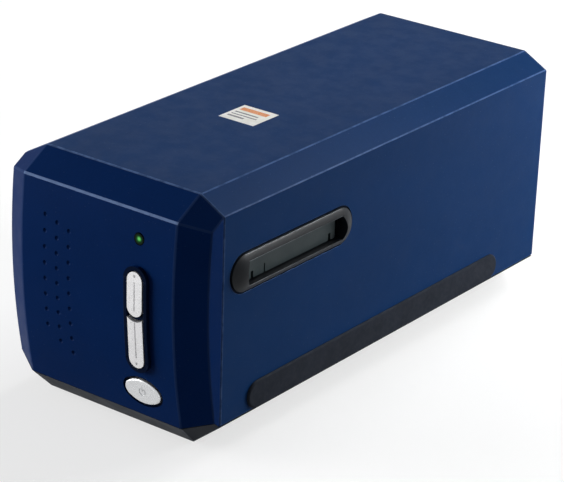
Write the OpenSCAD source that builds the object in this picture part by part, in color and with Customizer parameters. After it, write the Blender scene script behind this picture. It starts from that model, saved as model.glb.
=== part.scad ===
// Desktop scanner for film strips and slides.
// A film holder slides across through a flapped slot in each side. A carriage under and
// over the holder carries the lamp, mirror, lens and line sensor along Y on two rods,
// drawn by a stepper motor, a gear pair and a toothed belt.
// Frame: X to the right seen from the front, -Y to the front, +Z up. The origin is the
// centre of the bounding box, on the surface that the feet stand on.

/* [Body] */
// Width of the housing without the slot trims
body_w = 115; // [112:0.5:124]
// Height of the housing above its feet
body_h = 118.2; // [116:0.2:126]
// Depth of the housing, front crown to rear top edge
shell_d = 268.2; // [264:0.2:290]
// Wall thickness of the mouldings
wall = 2.2; // [1.8:0.1:2.4]
// Width of the top edge's chamfer
top_chamfer_x = 13.34; // [9:0.02:15]
// Height of the top edge's chamfer
top_chamfer_z = 7.26; // [5:0.02:9]
// Width of the bottom edge's chamfer
bottom_chamfer_x = 14.84; // [12:0.02:16]
// Height of the bottom edge's chamfer
bottom_chamfer_z = 11.84; // [10:0.02:13]
// Lean of the rear end over the full height
rear_lean = 2.7; // [0:0.1:5]
// Width of the gap between neighbouring mouldings
seam_gap = 0.4; // [0.2:0.1:0.8]
// Height of the tongues that close the seams from inside
tongue_h = 2.4; // [1.6:0.1:3]

/* [Front bezel] */
// Depth of the bezel, crown to seam, at the bottom
bezel_d = 16.3; // [15:0.1:20]
// Lean of the seam over the full height
seam_lean = 1.1; // [0:0.1:4]
// Radius of the bowed front face
front_r = 306; // [250:1:500]
// Height of the front face's crown above the housing's bottom
crown_h = 70.6; // [60:0.2:76]
// Height of the housing's top above the front face's top edge
face_top_drop = 8.9; // [6:0.1:12]
// Height of the front face's bottom edge
face_bottom_h = 10.8; // [8:0.1:12]
// Width of the chamfer down each side of the front
cheek_w = 13.34; // [10:0.02:16]
// Depth of the chamfer down each side of the front
cheek_d = 7.6; // [6:0.1:9]
// Rise of the base's front corner facets over the chamfer's width
cheek_rise = 4.4; // [3:0.1:5]
// Across one dimple of the front
dimple_d = 2.3; // [1:0.1:2.6]
// Depth of one dimple
dimple_depth = 0.6; // [0.3:0.1:0.8]
// Pitch of the dimples down a column
dimple_pitch = 7.45; // [6:0.05:7.6]

/* [Buttons] */
// Distance of the button column from the centre plane
button_x = 24.2; // [22:0.1:25]
// Width of the two scan buttons
button_w = 8.4; // [7:0.1:9]
// Height of the upper scan button
upper_button_h = 21; // [18:0.1:22]
// Height of the lower scan button's bottom above the housing's bottom
lower_button_z = 36.5; // [35:0.1:38]
// Height of the upper scan button's bottom above the housing's bottom
upper_button_z = 61.6; // [60:0.1:63]
// Width of the land between the two scan buttons
button_land = 2.5; // [2.3:0.1:3]
// How far the scan buttons stand proud of the front face
button_proud = 2.2; // [1.6:0.1:2.6]
// Width of the collar round the button column
collar_rim = 2.4; // [1.6:0.1:3]
// How far the collar stands proud of the front face
collar_proud = 1.9; // [1:0.1:2.2]
// Depth of the pocket in the collar
pocket_depth = 1.4; // [0.6:0.1:1.8]
// Width of the power button
oval_w = 20.2; // [18:0.1:22]
// Height of the power button
oval_h = 12; // [10:0.1:13]
// Height of the power button's centre above the housing's bottom
oval_z = 23.4; // [22:0.1:24]
// How far the power button stands proud of the front face
oval_proud = 0.5; // [0.3:0.1:1.4]
// Width of the sunk ring round the power button
oval_ring_w = 1.3; // [0.8:0.1:1.6]
// Depth of the sunk ring round the power button
oval_ring_depth = 0.8; // [0.4:0.1:1.2]
// Travel of every button
button_travel = 0.6; // [0.3:0.1:0.6]
// Gap round every button
button_gap = 0.5; // [0.2:0.05:0.6]
// Radius of the status light's pipe
light_r = 2.6; // [1.5:0.1:2.8]
// Depth of the status light below the housing's top
light_drop = 21.2; // [20:0.1:24]

/* [Film slot] */
// Length of the slot for the film holder
slot_l = 68; // [66:0.5:70]
// Height of the slot for the film holder
slot_h = 11.3; // [11:0.1:12]
// Distance of the slot's centre behind the front crown
slot_back = 65.3; // [64:0.1:67]
// Height of the slot's centre above the housing's bottom
slot_up = 81; // [80:0.1:82]
// Length of the slot trim
trim_l = 85.3; // [84:0.1:88]
// Height of the slot trim
trim_h = 17.4; // [17.2:0.1:20]
// How far the crown of the slot trim's domed frame stands proud of the side
trim_proud = 3.9; // [3:0.1:4.4]
// Height of the steep outer edge of the slot trim
trim_edge = 0.6; // [0.3:0.1:1]
// Width of the groove round the slot trim
trim_groove = 0.9; // [0.5:0.1:1.2]
// Radius of the bowed ends of the trim's mouth
mouth_end_r = 8.5; // [6.5:0.1:12]
// Thickness of the dust flaps
flap_t = 1.4; // [1:0.1:1.6]
// Radius of the flaps' hinge pins
pin_r = 0.75; // [0.6:0.05:0.9]
// Wall of the hinge barrel round its pin
barrel_wall = 0.75; // [0.6:0.05:0.9]

/* [Side strips and feet] */
// Length of the rubber strip on each side
strip_l = 196.3; // [180:0.1:210]
// Height of the rubber strip
strip_h = 13.2; // [11:0.1:14]
// How far the rubber strip stands proud of the side
strip_proud = 1.2; // [0.8:0.1:2]
// Height of the strip's centre above the housing's bottom
strip_up = 19.2; // [18.8:0.1:21]
// Height of the feet below the base
foot_h = 0.8; // [0.6:0.1:2]
// Radius of the feet
foot_r = 6; // [4:0.1:8]
// Side of the sticker on top
label_w = 20.2; // [15:0.1:25]

/* [Scan carriage] */
// Travel of the carriage
scan_travel = 38; // [30:0.5:38]
// Half width of the optical chamber
chamber_half_w = 26; // [25:0.5:27]
// Height of the optical chamber
chamber_h = 40; // [38:0.5:41]
// Room for the drive between the chamber and the rear
drive_room = 84.2; // [83.2:0.2:87.2]
// Length of the chamber in front of the scan line
chamber_front = 15; // [13:0.5:15]
// Wall thickness of the chamber
chamber_wall = 2; // [1.6:0.1:2.2]
// Radius of the lens barrel
lens_r = 9; // [7:0.1:9.5]
// Length of the lens barrel
lens_l = 24; // [20:0.5:26]
// Radius of the guide rods
rod_r = 3; // [2.5:0.1:3.2]
// Wall of the bronze bushes
bush_wall = 1.2; // [1:0.1:1.4]
// Thickness of the lamp arm's sheet
arm_t = 3; // [2:0.1:3]

/* [Drive] */
// Module of the gear pair
gear_module = 0.5; // [0.45:0.01:0.5]
// Teeth of the motor pinion
pinion_teeth = 12; // [12:1:14]
// Teeth of the reduction gear
gear_teeth = 40; // [36:1:40]
// Thickness of the gear pair
gear_t = 4; // [3:0.1:4]
// Pitch of the belt
belt_pitch = 2.032; // [1.9:0.001:2.1]
// Teeth of the belt pulleys
pulley_teeth = 16; // [15:1:17]
// Width of the belt
belt_w = 6; // [5:0.1:6]
// Thickness of the belt
belt_t = 1.2; // [0.9:0.1:1.3]
// Radius of the gear and pulley axles
axle_r = 1.5; // [1.2:0.1:1.6]
// Radius of the stepper motor's can
motor_r = 14; // [12:0.1:15]
// Length of the stepper motor's can
motor_l = 19; // [15:0.5:24]

/* [Fits] */
// Radial clearance of a running shaft
run_fit = 0.05; // [0.03:0.01:0.08]
// Radial clearance of a fixed pin or screw
fixed_fit = 0.02; // [0.01:0.01:0.05]
// Clearance between fixed parts that face each other
face_fit = 0.2; // [0.1:0.05:0.3]
// Backlash allowance on the gears' centre distance
mesh_fit = 0.12; // [0.08:0.01:0.16]

/* [Hidden] */

$fn = 64;
eps = 0.01;
far = 400;
bow_fn = 720;

// Housing
z0 = foot_h;
z_top = z0 + body_h;
half_w = body_w / 2;
inner_w = half_w - wall;
panel_proud = 1.6;
total_d = button_proud + shell_d + panel_proud;
apex_y = button_proud - total_d / 2;
rear_top_y = apex_y + shell_d;
crown_z = z0 + crown_h;
light_z = z_top - light_drop;
face_top_z = z_top - face_top_drop;
face_bottom_z = z0 + face_bottom_h;
flat_half = half_w - cheek_w;
split_z = z0 + bottom_chamfer_z;
floor_z = z0 + wall;
tongue_t = 1.4;
function seam_y(z) = apex_y + bezel_d + seam_lean * (z - z0) / body_h;
function rear_y(z) = rear_top_y - rear_lean * (z_top - z) / body_h;
function face_y(z, o = 0) = apex_y + front_r - sqrt(pow(front_r - o, 2) - pow(z - crown_z, 2));
function unit(v) = v / norm(v);

// Slot, channel and flaps
slot_y = apex_y + slot_back;
slot_z = z0 + slot_up;
slot_top = slot_z + slot_h / 2;
slot_bottom = slot_z - slot_h / 2;
stage_lift = 0.5;
stage_top = slot_bottom + stage_lift;
stage_t = 4;
channel_h = slot_h - 2 * stage_lift - 0.3;
guide_bottom = stage_top + channel_h;
guide_t = 2;
guide_top = guide_bottom + guide_t;
cheek_t = 3;
spigot_l = slot_l + 2 * cheek_t + 1;
barrel_r = pin_r + barrel_wall;
pivot_z = slot_top + 0.6;
hinge_in = 1.9;
pivot_x = half_w - hinge_in;
mouth_l = slot_l + 2.8;
groove_depth = 0.8;
dome_h = trim_proud - trim_edge;
dome_r = (pow(trim_h / 2, 2) + pow(dome_h, 2)) / (2 * dome_h);
spigot_top = pivot_z + barrel_r + face_fit;
spigot_bottom = slot_bottom - 2;
flap_end_gap = 0.3;
flap_len = pivot_z - stage_top - 0.3;
flap_outer = pivot_x + flap_t;
flap_relief = 2.9;
spring_wire_r = 0.2;
spring_l = 3.6;
coil_r = pin_r + spring_wire_r + 0.15;
coil_turns = 3;
coil_pitch = 0.7;
coil_drop = 2.5;
leaf_t = 0.3;
channel_half = slot_l / 2 + 0.5;
rail_t = 2.5;
guide_half = pivot_x - flap_len - 1.6;

// Stage
stage_half = inner_w - 0.5;
stage_front = slot_y - channel_half - rail_t - 0.5;
stage_back = slot_y + channel_half + rail_t + 1.5;
leg_t = 2;
leg_l = 12;
leg_x = stage_half - 2 - leg_t;
leg_foot_z = z0 + 13;
leg_foot_t = 2.5;
leg_foot_w = 10;
leg_post_x = leg_x + leg_t - 6;
window_half_x = 20;
window_l = scan_travel + 8;
tab_w = 22;
tab_d = 7;
detent_x = stage_half - 18.8;
tab_x = detent_x - 18;
detent_y = stage_back + 3;
detent_pin_r = 1.5;
detent_post_x = detent_x - 5;
detent_len = 15;
detent_t = 2.4;
detent_h = 6;
detent_z = stage_top + 0.3;
nose_depth = 1.6;
nose_x = detent_x - detent_len;
leg_post_y = [slot_y - channel_half + leg_l / 2 - 2, slot_y + channel_half - leg_l / 2 + 2];
stage_feet = [for (y = leg_post_y) [leg_post_x, y]];
guide_screws = [for (x = [-1, 1], s = [-1, 1])
    [x * (guide_half - 6), slot_y + s * (channel_half + rail_t / 2)]];

// Carriage at home
scan_y = slot_y + scan_travel / 2;
chamber_z = z0 + 21.2;
chamber_top = chamber_z + chamber_h;
chamber_y0 = scan_y - chamber_front;
chamber_y1 = rear_y(z0) - drive_room;
lid_t = 2;
lid_top = chamber_top + lid_t;
optic_z = chamber_z + chamber_h / 2;
mirror_w = 40;
mirror_l = 32;
mirror_t = 2;
lens_y = scan_y + 39;
rod_z = chamber_z + 24;
boss_r = rod_r + bush_wall + run_fit + 1.6;
rod_x = chamber_half_w + boss_r - 0.3;
bush_r = rod_r + bush_wall;
bush_l = 10;
bush_front_y = scan_y;
bush_back_y = chamber_y1 - 29;
fork_y = scan_y + 34;
fork_l = 12;
arm_half = 12;
arm_y = stage_back + scan_travel + 2.2;
arm_foot_l = 14;
lamp_z = guide_top + 2;
lamp_h = 6.5;
lamp_half_x = 25;
lamp_l = 15;
lamp_wall = 1.5;
beam_half = 8;
beam_z = lamp_z + lamp_h;
sensor_half = 20;
sensor_h = 32;
sensor_y = chamber_y1;
line_half = 16;
line_h = 10;
line_t = 3;
ribbon_half = 8;
ribbon_t = 0.3;
ribbon_top = optic_z - sensor_h / 2 + 1.5;
ribbon_low = z0 + 8;
clamp_y = fork_y + 24;
flag_x = -16;
flag_y = sensor_y + 4.5;
flag_l = 5;
flag_t = 0.8;
flag_screw_y = chamber_y1 - 6;
home_z0 = rod_z - 3;
home_screw_z = [home_z0 + 2.5, home_z0 + 7.5];
cradle_half = 15;
cradle_l = 14;
cradle_z = optic_z - 3;
strap_t = 1.4;
fork_half = 6;
strip_half = 3;
strip_board_t = 1.2;
strap_screws = [for (x = [-1, 1]) [x * (cradle_half - 2.4), lens_y]];
clamp_screws = [for (y = [-5.5, 5.5]) [clamp_y + y, rod_z - fork_half - 5]];
sensor_screws = [for (x = [-1, 1], z = [-1, 1])
    [x * (sensor_half - 2.5), optic_z + z * (sensor_h / 2 - 2.5)]];
arm_screws = [for (x = [-1, 1]) [x * 8, arm_y + arm_foot_l - 5]];
lamp_screws = [for (x = [-1, 1]) [x * 5, scan_y + strip_half + 2]];
lid_screws = [for (x = [-1, 1], y = [chamber_y0 + 4, chamber_y1 - 4])
    [x * (chamber_half_w - chamber_wall - 1.2), y]];

// Drive
pulley_r = belt_pitch * pulley_teeth / (2 * PI);
pulley_tip = pulley_r - 0.25;
belt_in = pulley_r - 0.05;
belt_out = belt_in + belt_t;
gear_r = gear_module * gear_teeth / 2;
pinion_r = gear_module * pinion_teeth / 2;
gear_tip = gear_r + gear_module;
drive_x = inner_w - gear_tip - 1.8;
bracket_t = 2;
front_bracket_y = chamber_y0 - scan_travel - 5 - bracket_t;
rear_bracket_y = chamber_y1 + 12;
drive_y = rear_bracket_y + 24;
mesh_d = gear_r + pinion_r + mesh_fit;
motor_x = drive_x - mesh_d;
gear_z = z0 + 15.2;
pulley_z = gear_z + gear_t;
flange_t = 1;
belt_z = pulley_z + flange_t + 0.5;
pulley_top = belt_z + belt_w + 0.5 + flange_t;
plate_z = pulley_top + 2.2;
plate_t = 2;
flange_r = belt_out + 0.5;
idler_y = front_bracket_y + bracket_t + flange_r + 3;
idler_post_y = idler_y + 18;
idler_plate_z = pulley_z - 2;
rod_front = front_bracket_y - 2;
rod_back = rear_bracket_y + bracket_t + 2;
bracket_top = rod_z + 8;
bracket_half = drive_x - belt_out - 0.6;
bracket_foot = 10;
bracket_open_half = 20;
bracket_open_z0 = floor_z + 4;
bracket_open_z1 = rod_z - 8;
shaft_r = 1;

// Electronics
board_t = 1.6;
main_board_z = z0 + 15.2;
main_board_y = rear_bracket_y + 16;
main_board_half = 25;
main_board_x = 37.5 - half_w;
ribbon_x = main_board_x + 16;
port_y = rear_y(main_board_z) + panel_proud - 0.3;
main_board_back = port_y - 6;
usb_x = main_board_x + 4;
usb_w = 12;
usb_h = 11;
usb_d = 16;
usb_wall = 1;
jack_x = main_board_x - 18;
jack_w = 9.5;
jack_h = 11;
jack_d = 14;
button_board_y = seam_y(z0) - 3.6;
button_board_z0 = z0 + 17;
button_board_z1 = z_top - 16.2;
button_board_x0 = button_x - 18;
button_board_x1 = button_x + 10.8;
switch_top_y = button_board_y - 3.8;
switch_z = [z0 + upper_button_z + upper_button_h / 2,
    z0 + (lower_button_z + upper_button_z) / 2 - 2, z0 + oval_z];
post_end = switch_top_y - button_travel - 0.2;
flange_w = 0.9;
flange_thick = 0.9;
board_posts = [[button_board_x0 + 2.6, button_board_z0 + 4.5], [button_board_x0 + 2.6, button_board_z1 - 4.5],
    [button_board_x1 - 2.4, button_board_z1 - 9], [button_board_x1 - 2.4, button_board_z0 + 23]];
board_feet = [[main_board_x - main_board_half + 4, main_board_y + 4],
    [main_board_x + main_board_half - 4, main_board_y + 16],
    [(usb_x + jack_x) / 2 - 0.6, main_board_back - 4],
    [main_board_x + main_board_half - 4, main_board_back - 4]];

// Fasteners
m3_r = 1.4;
m3_head_r = 2.8;
m3_head_h = 2;
m2_r = 0.9;
m2_head_r = 1.8;
m2_head_h = 1.2;
case_x = inner_w - 5.6;
case_front_y = seam_y(z_top) + 5;
case_back_y = rear_y(z0) - wall - 8.4;
case_head_z = z0 + 10.2;
case_screw_l = 20.4;
case_boss_top = z0 + 36;
bezel_screw_x = 40;
bezel_screw_y = seam_y(z0) + 4;
bezel_head_z = z0 + 5;
bezel_screw_l = 15;
rear_screw_x = half_w - 5.6;
rear_screw_z = [split_z + 18, z_top - 22];
rear_seat = 0.6;
bracket_screw_x = 22;
bracket_screw_y = [front_bracket_y + bracket_t + 5, rear_bracket_y - 5];
plate_x0 = motor_x - motor_r - 3;
plate_x1 = drive_x + 8;
plate_y0 = drive_y - motor_r - 7.3;
plate_y1 = drive_y + motor_r + 7.3;
ear_y = motor_r + 3.5;
motor_screws = [for (s = [-1, 1]) [motor_x, drive_y + s * ear_y]];
plate_posts = [[plate_x0 + 4, plate_y0 + 4], [plate_x0 + 4, plate_y1 - 4],
    [plate_x1 - 4, plate_y1 - 2], [drive_x, plate_y0 + 5]];
idler_post_x = drive_x - 2;
axle_depth = 7;

// Rear panel, feet and sticker
panel_inset = 3.5;
opening_inset = 7;
vent_rows = 5;
vent_pitch = 5;
vent_h = 2;
vent_drop = 42;
vent_z = z_top - vent_drop;
vent_x0 = 8;
vent_x1 = 38;
foot_x = 30;
foot_rows = [seam_y(z0) + 18, rear_y(z0) - 20];
foot_recess = 0.6;
label_t = 0.15;
label_y = seam_y(z_top) + 78;
label_l = label_w * 0.94;

// Columns of dimples: x, height of the top one above the base, number, share of the pitch
dimple_columns = [[-30, 93.7, 8, 1.025], [-22.9, 91.6, 9, 0.97], [-15.9, 89.5, 9, 1]];

// ---------- helpers ----------

// Extrudes a drawing in (y, z) along X
module along_x(x0, x1) translate([x0, 0, 0]) rotate([90, 0, 90]) linear_extrude(x1 - x0) children();

// Extrudes a drawing in (x, z) along Y
module along_y(y0, y1) translate([0, y1, 0]) rotate([90, 0, 0]) linear_extrude(y1 - y0) children();

module box(p, q) translate(p) cube(q - p);

module rod_x(p, r, l) translate(p) rotate([0, 90, 0]) cylinder(r = r, h = l);

module rod_y(p, r, l) translate(p) rotate([-90, 0, 0]) cylinder(r = r, h = l);

module both_sides() {
    children();
    mirror([1, 0, 0]) children();
}

// Everything behind the plane through p, q and r, moved in by o; its outer side is that
// from which p, q, r run anticlockwise
module half_space(p, q, r, o = 0) {
    n = unit(cross(q - p, r - p));
    translate(p - n * o)
        rotate([0, acos(n[2]), atan2(n[1], n[0])])
            translate([-far, -far, -2 * far]) cube(2 * far);
}

// Upright pill, centred
module pill(w, h) {
    square([w, h - w], center = true);
    for (s = [-1, 1]) translate([0, s * (h - w) / 2]) circle(w / 2);
}

// Points of an arc about c from angle a0 to a1
function arc(c, r, a0, a1, n) = [for (i = [0:n]) let (a = a0 + (a1 - a0) * i / n) c + r * [cos(a), sin(a)]];

// Oval drawn with four arcs: half axes a and b, end radius r
module oval(a, b, r) {
    c = a - r;
    k = (c * c - pow(b - r, 2)) / (2 * (b - r));
    t = atan2(k, c);
    polygon(concat(
        arc([c, 0], r, -t, t, 24), arc([0, -k], b + k, t + 1, 179 - t, 24),
        arc([-c, 0], r, 180 - t, 180 + t, 24), arc([0, k], b + k, 181 + t, 359 - t, 24)));
}

// Half section of a pad of half height h and thickness t with an edge of radius r
module pad_edge(h, t, r) {
    square([h, t - r]);
    square([h - r, t]);
    translate([h - r, t - r]) intersection() {
        circle(r);
        translate([0, r - t]) square([r, t]);
    }
}

// Pad of length l and height h along Y with round ends, standing on x = 0: its half section
// is drawn as distance from the middle and height
module pad_along_y(l, h) {
    along_y((h - l) / 2, (l - h) / 2) for (s = [0, 1]) mirror([0, s]) mirror([1, -1]) children();
    for (s = [-1, 1]) translate([0, s * (l - h) / 2, 0]) rotate([0, 90, 0]) rotate_extrude() children();
}

// Self-tapping screw pointing up, its head below z = 0
module screw(r, head_r, head_h, l) {
    cylinder(r = r, h = l);
    translate([0, 0, -head_h]) difference() {
        cylinder(r = head_r, h = head_h);
        for (a = [0, 90]) rotate(a) translate([-head_r * 0.6, -head_r * 0.1, -eps])
            cube([head_r * 1.2, head_r * 0.2, head_h * 0.5]);
    }
}

// Round wire of radius r along the points p, closed at both ends
module wire(p, r, sides = 8) {
    n = len(p);
    function dir(i) = unit(p[min(i + 1, n - 1)] - p[max(i - 1, 0)]);
    function ring(i) = let (d = dir(i), u = unit(cross(d, [0.13, 0.97, 0.2])), v = cross(d, u))
        [for (k = [0:sides - 1]) p[i] + r * (u * cos(360 * k / sides) + v * sin(360 * k / sides))];
    polyhedron([for (i = [0:n - 1]) each ring(i)], concat(
        [[for (k = [0:sides - 1]) k]],
        [for (i = [0:n - 2], k = [0:sides - 1]) let (a = i * sides + k, b = i * sides + (k + 1) % sides)
            [b, a, a + sides, b + sides]],
        [[for (k = [sides - 1:-1:0]) (n - 1) * sides + k]]));
}

// Involute spur gear standing on z = 0
module spur_gear(m, teeth, t) {
    r_pitch = m * teeth / 2;
    r_base = r_pitch * cos(20);
    r_tip = r_pitch + m * 0.95;
    r_root = r_pitch - m * 1.25;
    thin = 0.04 / r_pitch * 180 / PI;
    function inv_angle(r) = let (a = acos(min(1, r_base / r))) tan(a) * 180 / PI - a;
    half = 90 / teeth + inv_angle(r_pitch) - thin;
    steps = 4;
    r_low = max(r_base, r_root);
    flank = [for (i = [0:steps]) let (r = r_low + (r_tip - r_low) * i / steps) [r, half - inv_angle(r)]];
    tooth = concat([[r_root, flank[0][1]]], flank);
    points = [for (k = [0:teeth - 1], s = [-1, 1]) each
        [for (i = [0:steps + 1]) let (q = s < 0 ? tooth[i] : tooth[steps + 1 - i],
            a = 360 * k / teeth + s * q[1])
            q[0] * [cos(a), sin(a)]]];
    linear_extrude(t) polygon(points);
}

// ---------- outer form ----------

function corner(w, cx, cz, o) = let (l = norm([cx, cz]))
    [[w - cx - o * (l - cx) / cz, o], [w - o, cz + o * (l - cz) / cx]];

// Cross-section of the housing, moved in by o
module section(o = 0) {
    t = corner(half_w, top_chamfer_x, top_chamfer_z, o);
    b = corner(half_w, bottom_chamfer_x, bottom_chamfer_z, o);
    right = [[b[0][0], z0 + b[0][1]], [b[1][0], z0 + b[1][1]],
        [t[1][0], z_top - t[1][1]], [t[0][0], z_top - t[0][1]]];
    polygon(concat(right, [for (i = [3:-1:0]) [-right[i][0], right[i][1]]]));
}

module face_drum(r) translate([0, apex_y + front_r, crown_z]) rotate([0, 90, 0])
    cylinder(r = r, h = 2 * body_w, center = true, $fn = bow_fn);

// Chamfer down the right side of the front
module cheek_drum(o) {
    a = atan2(cheek_d, cheek_w);
    r = front_r / cos(a);
    translate([flat_half, apex_y, crown_z]) rotate([0, 0, a]) translate([0, r, 0])
        rotate([0, 90, 0]) cylinder(r = r - o, h = 4 * body_w, center = true, $fn = bow_fn);
}

module top_facet(o) half_space(
    [flat_half, face_y(face_top_z), face_top_z],
    [half_w, seam_y(z_top - top_chamfer_z), z_top - top_chamfer_z],
    [half_w - top_chamfer_x, seam_y(z_top), z_top], o);

module bottom_facet(o) half_space(
    [flat_half, face_y(face_bottom_z), face_bottom_z],
    [half_w - bottom_chamfer_x, seam_y(z0), z0],
    [half_w, seam_y(split_z), split_z], o);

// The whole outer form moved in by o, a convex solid
module housing(o = 0) intersection() {
    along_y(apex_y - 5, rear_top_y + 5) section(o);
    face_drum(front_r - o);
    cheek_drum(o);
    mirror([1, 0, 0]) cheek_drum(o);
    half_space([0, face_y(face_top_z), face_top_z], [1, face_y(face_top_z), face_top_z],
        [0, seam_y(z_top), z_top], o);
    half_space([0, face_y(face_bottom_z), face_bottom_z], [0, seam_y(z0), z0],
        [1, face_y(face_bottom_z), face_bottom_z], o);
    top_facet(o);
    mirror([1, 0, 0]) top_facet(o);
    bottom_facet(o);
    mirror([1, 0, 0]) bottom_facet(o);
    half_space([0, rear_y(z0), z0], [0, rear_y(z_top), z_top], [1, rear_y(z0), z0], o);
}

module shell() difference() {
    housing(0);
    housing(wall);
}

// In front of the seam, moved forward by g
module before_seam(g) along_x(-body_w, body_w)
    polygon([[seam_y(0) - g, 0], [seam_y(z_top + 10) - g, z_top + 10], [-far, z_top + 10], [-far, 0]]);

// Behind the seam, moved back by g
module behind_seam(g) along_x(-body_w, body_w)
    polygon([[seam_y(0) + g, 0], [far, 0], [far, z_top + 10], [seam_y(z_top + 10) + g, z_top + 10]]);

// Zone of the base tray in the outer form, raised by g
module base_zone(g = 0) {
    rim_z = face_bottom_z + cheek_rise;
    rim_y = face_y(rim_z) + cheek_d;
    seam = seam_y(split_z);
    intersection() {
        along_y(-far, seam) polygon([[-body_w, 0], [body_w, 0], [body_w, rim_z + g + 10],
            [half_w, rim_z + g], [flat_half, face_bottom_z + g], [-flat_half, face_bottom_z + g],
            [-half_w, rim_z + g], [-body_w, rim_z + g + 10]]);
        along_x(-body_w, body_w) polygon([[-far, 0], [seam, 0], [seam, split_z + g],
            [rim_y, rim_z + g], [-far, rim_z + g]]);
    }
    along_x(-body_w, body_w) polygon([[seam - eps, 0], [far, 0], [far, split_z + g],
        [seam - eps, split_z + g]]);
}

// Closing tongue just inside the wall
module tongue_ring(o) difference() {
    housing(o);
    housing(wall + tongue_t);
}

// ---------- housing ----------

module rear_opening(o) intersection() {
    along_y(rear_y(z0) - 3 * wall, rear_top_y + 10) section(o);
    box([-body_w, -far, split_z + o], [body_w, far, far]);
}

module top_cover() color("#27407a") difference() {
    union() {
        intersection() {
            shell();
            behind_seam(seam_gap / 2);
            box([-body_w, -far, split_z + seam_gap], [body_w, far, far]);
        }
        for (y = [case_front_y, case_back_y]) both_sides() case_boss(y);
    }
    rear_opening(opening_inset);
    both_sides() slot_cut();
    for (y = [case_front_y, case_back_y]) both_sides() translate([case_x, y, 0])
        cylinder(r = m3_r + fixed_fit, h = case_boss_top - 2);
    both_sides() for (z = rear_screw_z) rear_screw_hole(z, m2_r + fixed_fit, 6);
    usb_port_cut();
    jack_port_cut();
    box([-label_w / 2 - 0.1, label_y - 0.1, z_top - label_t],
        [label_w / 2 + 0.1, label_y + label_l + 0.1, far]);
}

// Boss for a case screw, tied to the side wall by a web
module case_boss(y) {
    translate([case_x, y, split_z + seam_gap]) cylinder(r = 3.4, h = case_boss_top - split_z - seam_gap);
    box([case_x, y - 1, split_z + seam_gap], [inner_w + wall / 2, y + 1, case_boss_top]);
}

module rear_screw_hole(z, r, l) translate([rear_screw_x, rear_y(z) + eps, z])
    rotate([90, 0, 0]) cylinder(r = r, h = l);

// Hole for the slot trim's spigot in the right side, and the recess that its frame lies in
module slot_cut(g = face_fit) {
    box([inner_w - eps, slot_y - spigot_l / 2 - g, spigot_bottom - g],
        [half_w + eps, slot_y + spigot_l / 2 + g, spigot_top + g]);
    along_x(half_w - groove_depth, half_w + 1) translate([slot_y, slot_z]) rotate(90)
        pill(trim_h + 2 * trim_groove, trim_l + 2 * trim_groove);
}

module rear_panel() color("#1c1e22") difference() {
    union() {
        intersection() {
            along_x(-body_w, body_w) polygon([for (p = [[z0, 0], [z0, panel_proud], [z_top, panel_proud],
                [z_top, 0]])
                [rear_y(p[0]) + p[1], p[0]]]);
            along_y(-far, far) section(panel_inset);
            box([-body_w, -far, split_z + panel_inset], [body_w, far, far]);
        }
        intersection() {
            along_x(-body_w, body_w) polygon([for (p = [[z0, -wall], [z0, eps], [z_top, eps], [z_top, -wall]])
                [rear_y(p[0]) + p[1], p[0]]]);
            rear_opening(opening_inset + face_fit);
        }
    }
    usb_port_cut();
    jack_port_cut();
    for (i = [0:vent_rows - 1]) both_sides() box([vent_x0, rear_y(z0) - 2 * wall, vent_z + i * vent_pitch],
        [vent_x1, far, vent_z + i * vent_pitch + vent_h]);
    both_sides() for (z = rear_screw_z) {
        translate([0, panel_proud, 0]) rear_screw_hole(z, m2_r + 0.1, panel_proud + 4);
        rod_y([rear_screw_x, rear_y(z) + rear_seat, z], m2_head_r + 0.2, panel_proud);
    }
}

module usb_port_cut() box([usb_x - usb_w / 2 - face_fit, 0, main_board_z + board_t],
    [usb_x + usb_w / 2 + face_fit, far, main_board_z + board_t + usb_h + face_fit]);

module jack_port_cut() box([jack_x - jack_w / 2 - face_fit, 0, main_board_z + board_t],
    [jack_x + jack_w / 2 + face_fit, far, main_board_z + board_t + jack_h + face_fit]);

// Drawings of the buttons in (x, z), widened by o
module upper_button_shape(o = 0) translate([button_x, z0 + upper_button_z + upper_button_h / 2])
    pill(button_w + 2 * o, upper_button_h + 2 * o);

module lower_button_shape(o = 0) {
    top_centre = z0 + upper_button_z + button_w / 2;
    bottom = z0 + lower_button_z;
    difference() {
        union() {
            translate([button_x, bottom + button_w / 2]) circle(button_w / 2 + o);
            translate([button_x - button_w / 2 - o, bottom + button_w / 2])
                square([button_w + 2 * o, top_centre - bottom - button_w / 2]);
        }
        translate([button_x, top_centre]) circle(button_w / 2 + button_land - o);
    }
}

module column_shape(o) {
    h = upper_button_z + upper_button_h - lower_button_z;
    translate([button_x, z0 + lower_button_z + h / 2]) pill(button_w + 2 * o, h + 2 * o);
}

module power_button_shape(o = 0) translate([button_x, z0 + oval_z])
    oval(oval_w / 2 + o, oval_h / 2 + o, oval_h * 0.34 + o);

// Strip along the seam's plane from d0 to d1 behind it, above the base tray
module seam_band(d0, d1) along_x(-body_w, body_w) polygon([
    for (p = [[split_z + 6, d0], [split_z + 6, d1], [z_top, d1], [z_top, d0]]) [seam_y(p[0]) + p[1], p[0]]]);

module bezel_tongue() {
    intersection() {
        tongue_ring(wall - eps);
        seam_band(-2.5, -seam_gap / 2);
    }
    intersection() {
        tongue_ring(wall + face_fit);
        seam_band(-1, tongue_h);
    }
}

module button_collar() difference() {
    intersection() {
        along_y(-far, apex_y + 8) column_shape(collar_rim);
        face_drum(front_r + collar_proud);
    }
    face_drum(front_r - wall / 2);
}

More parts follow.
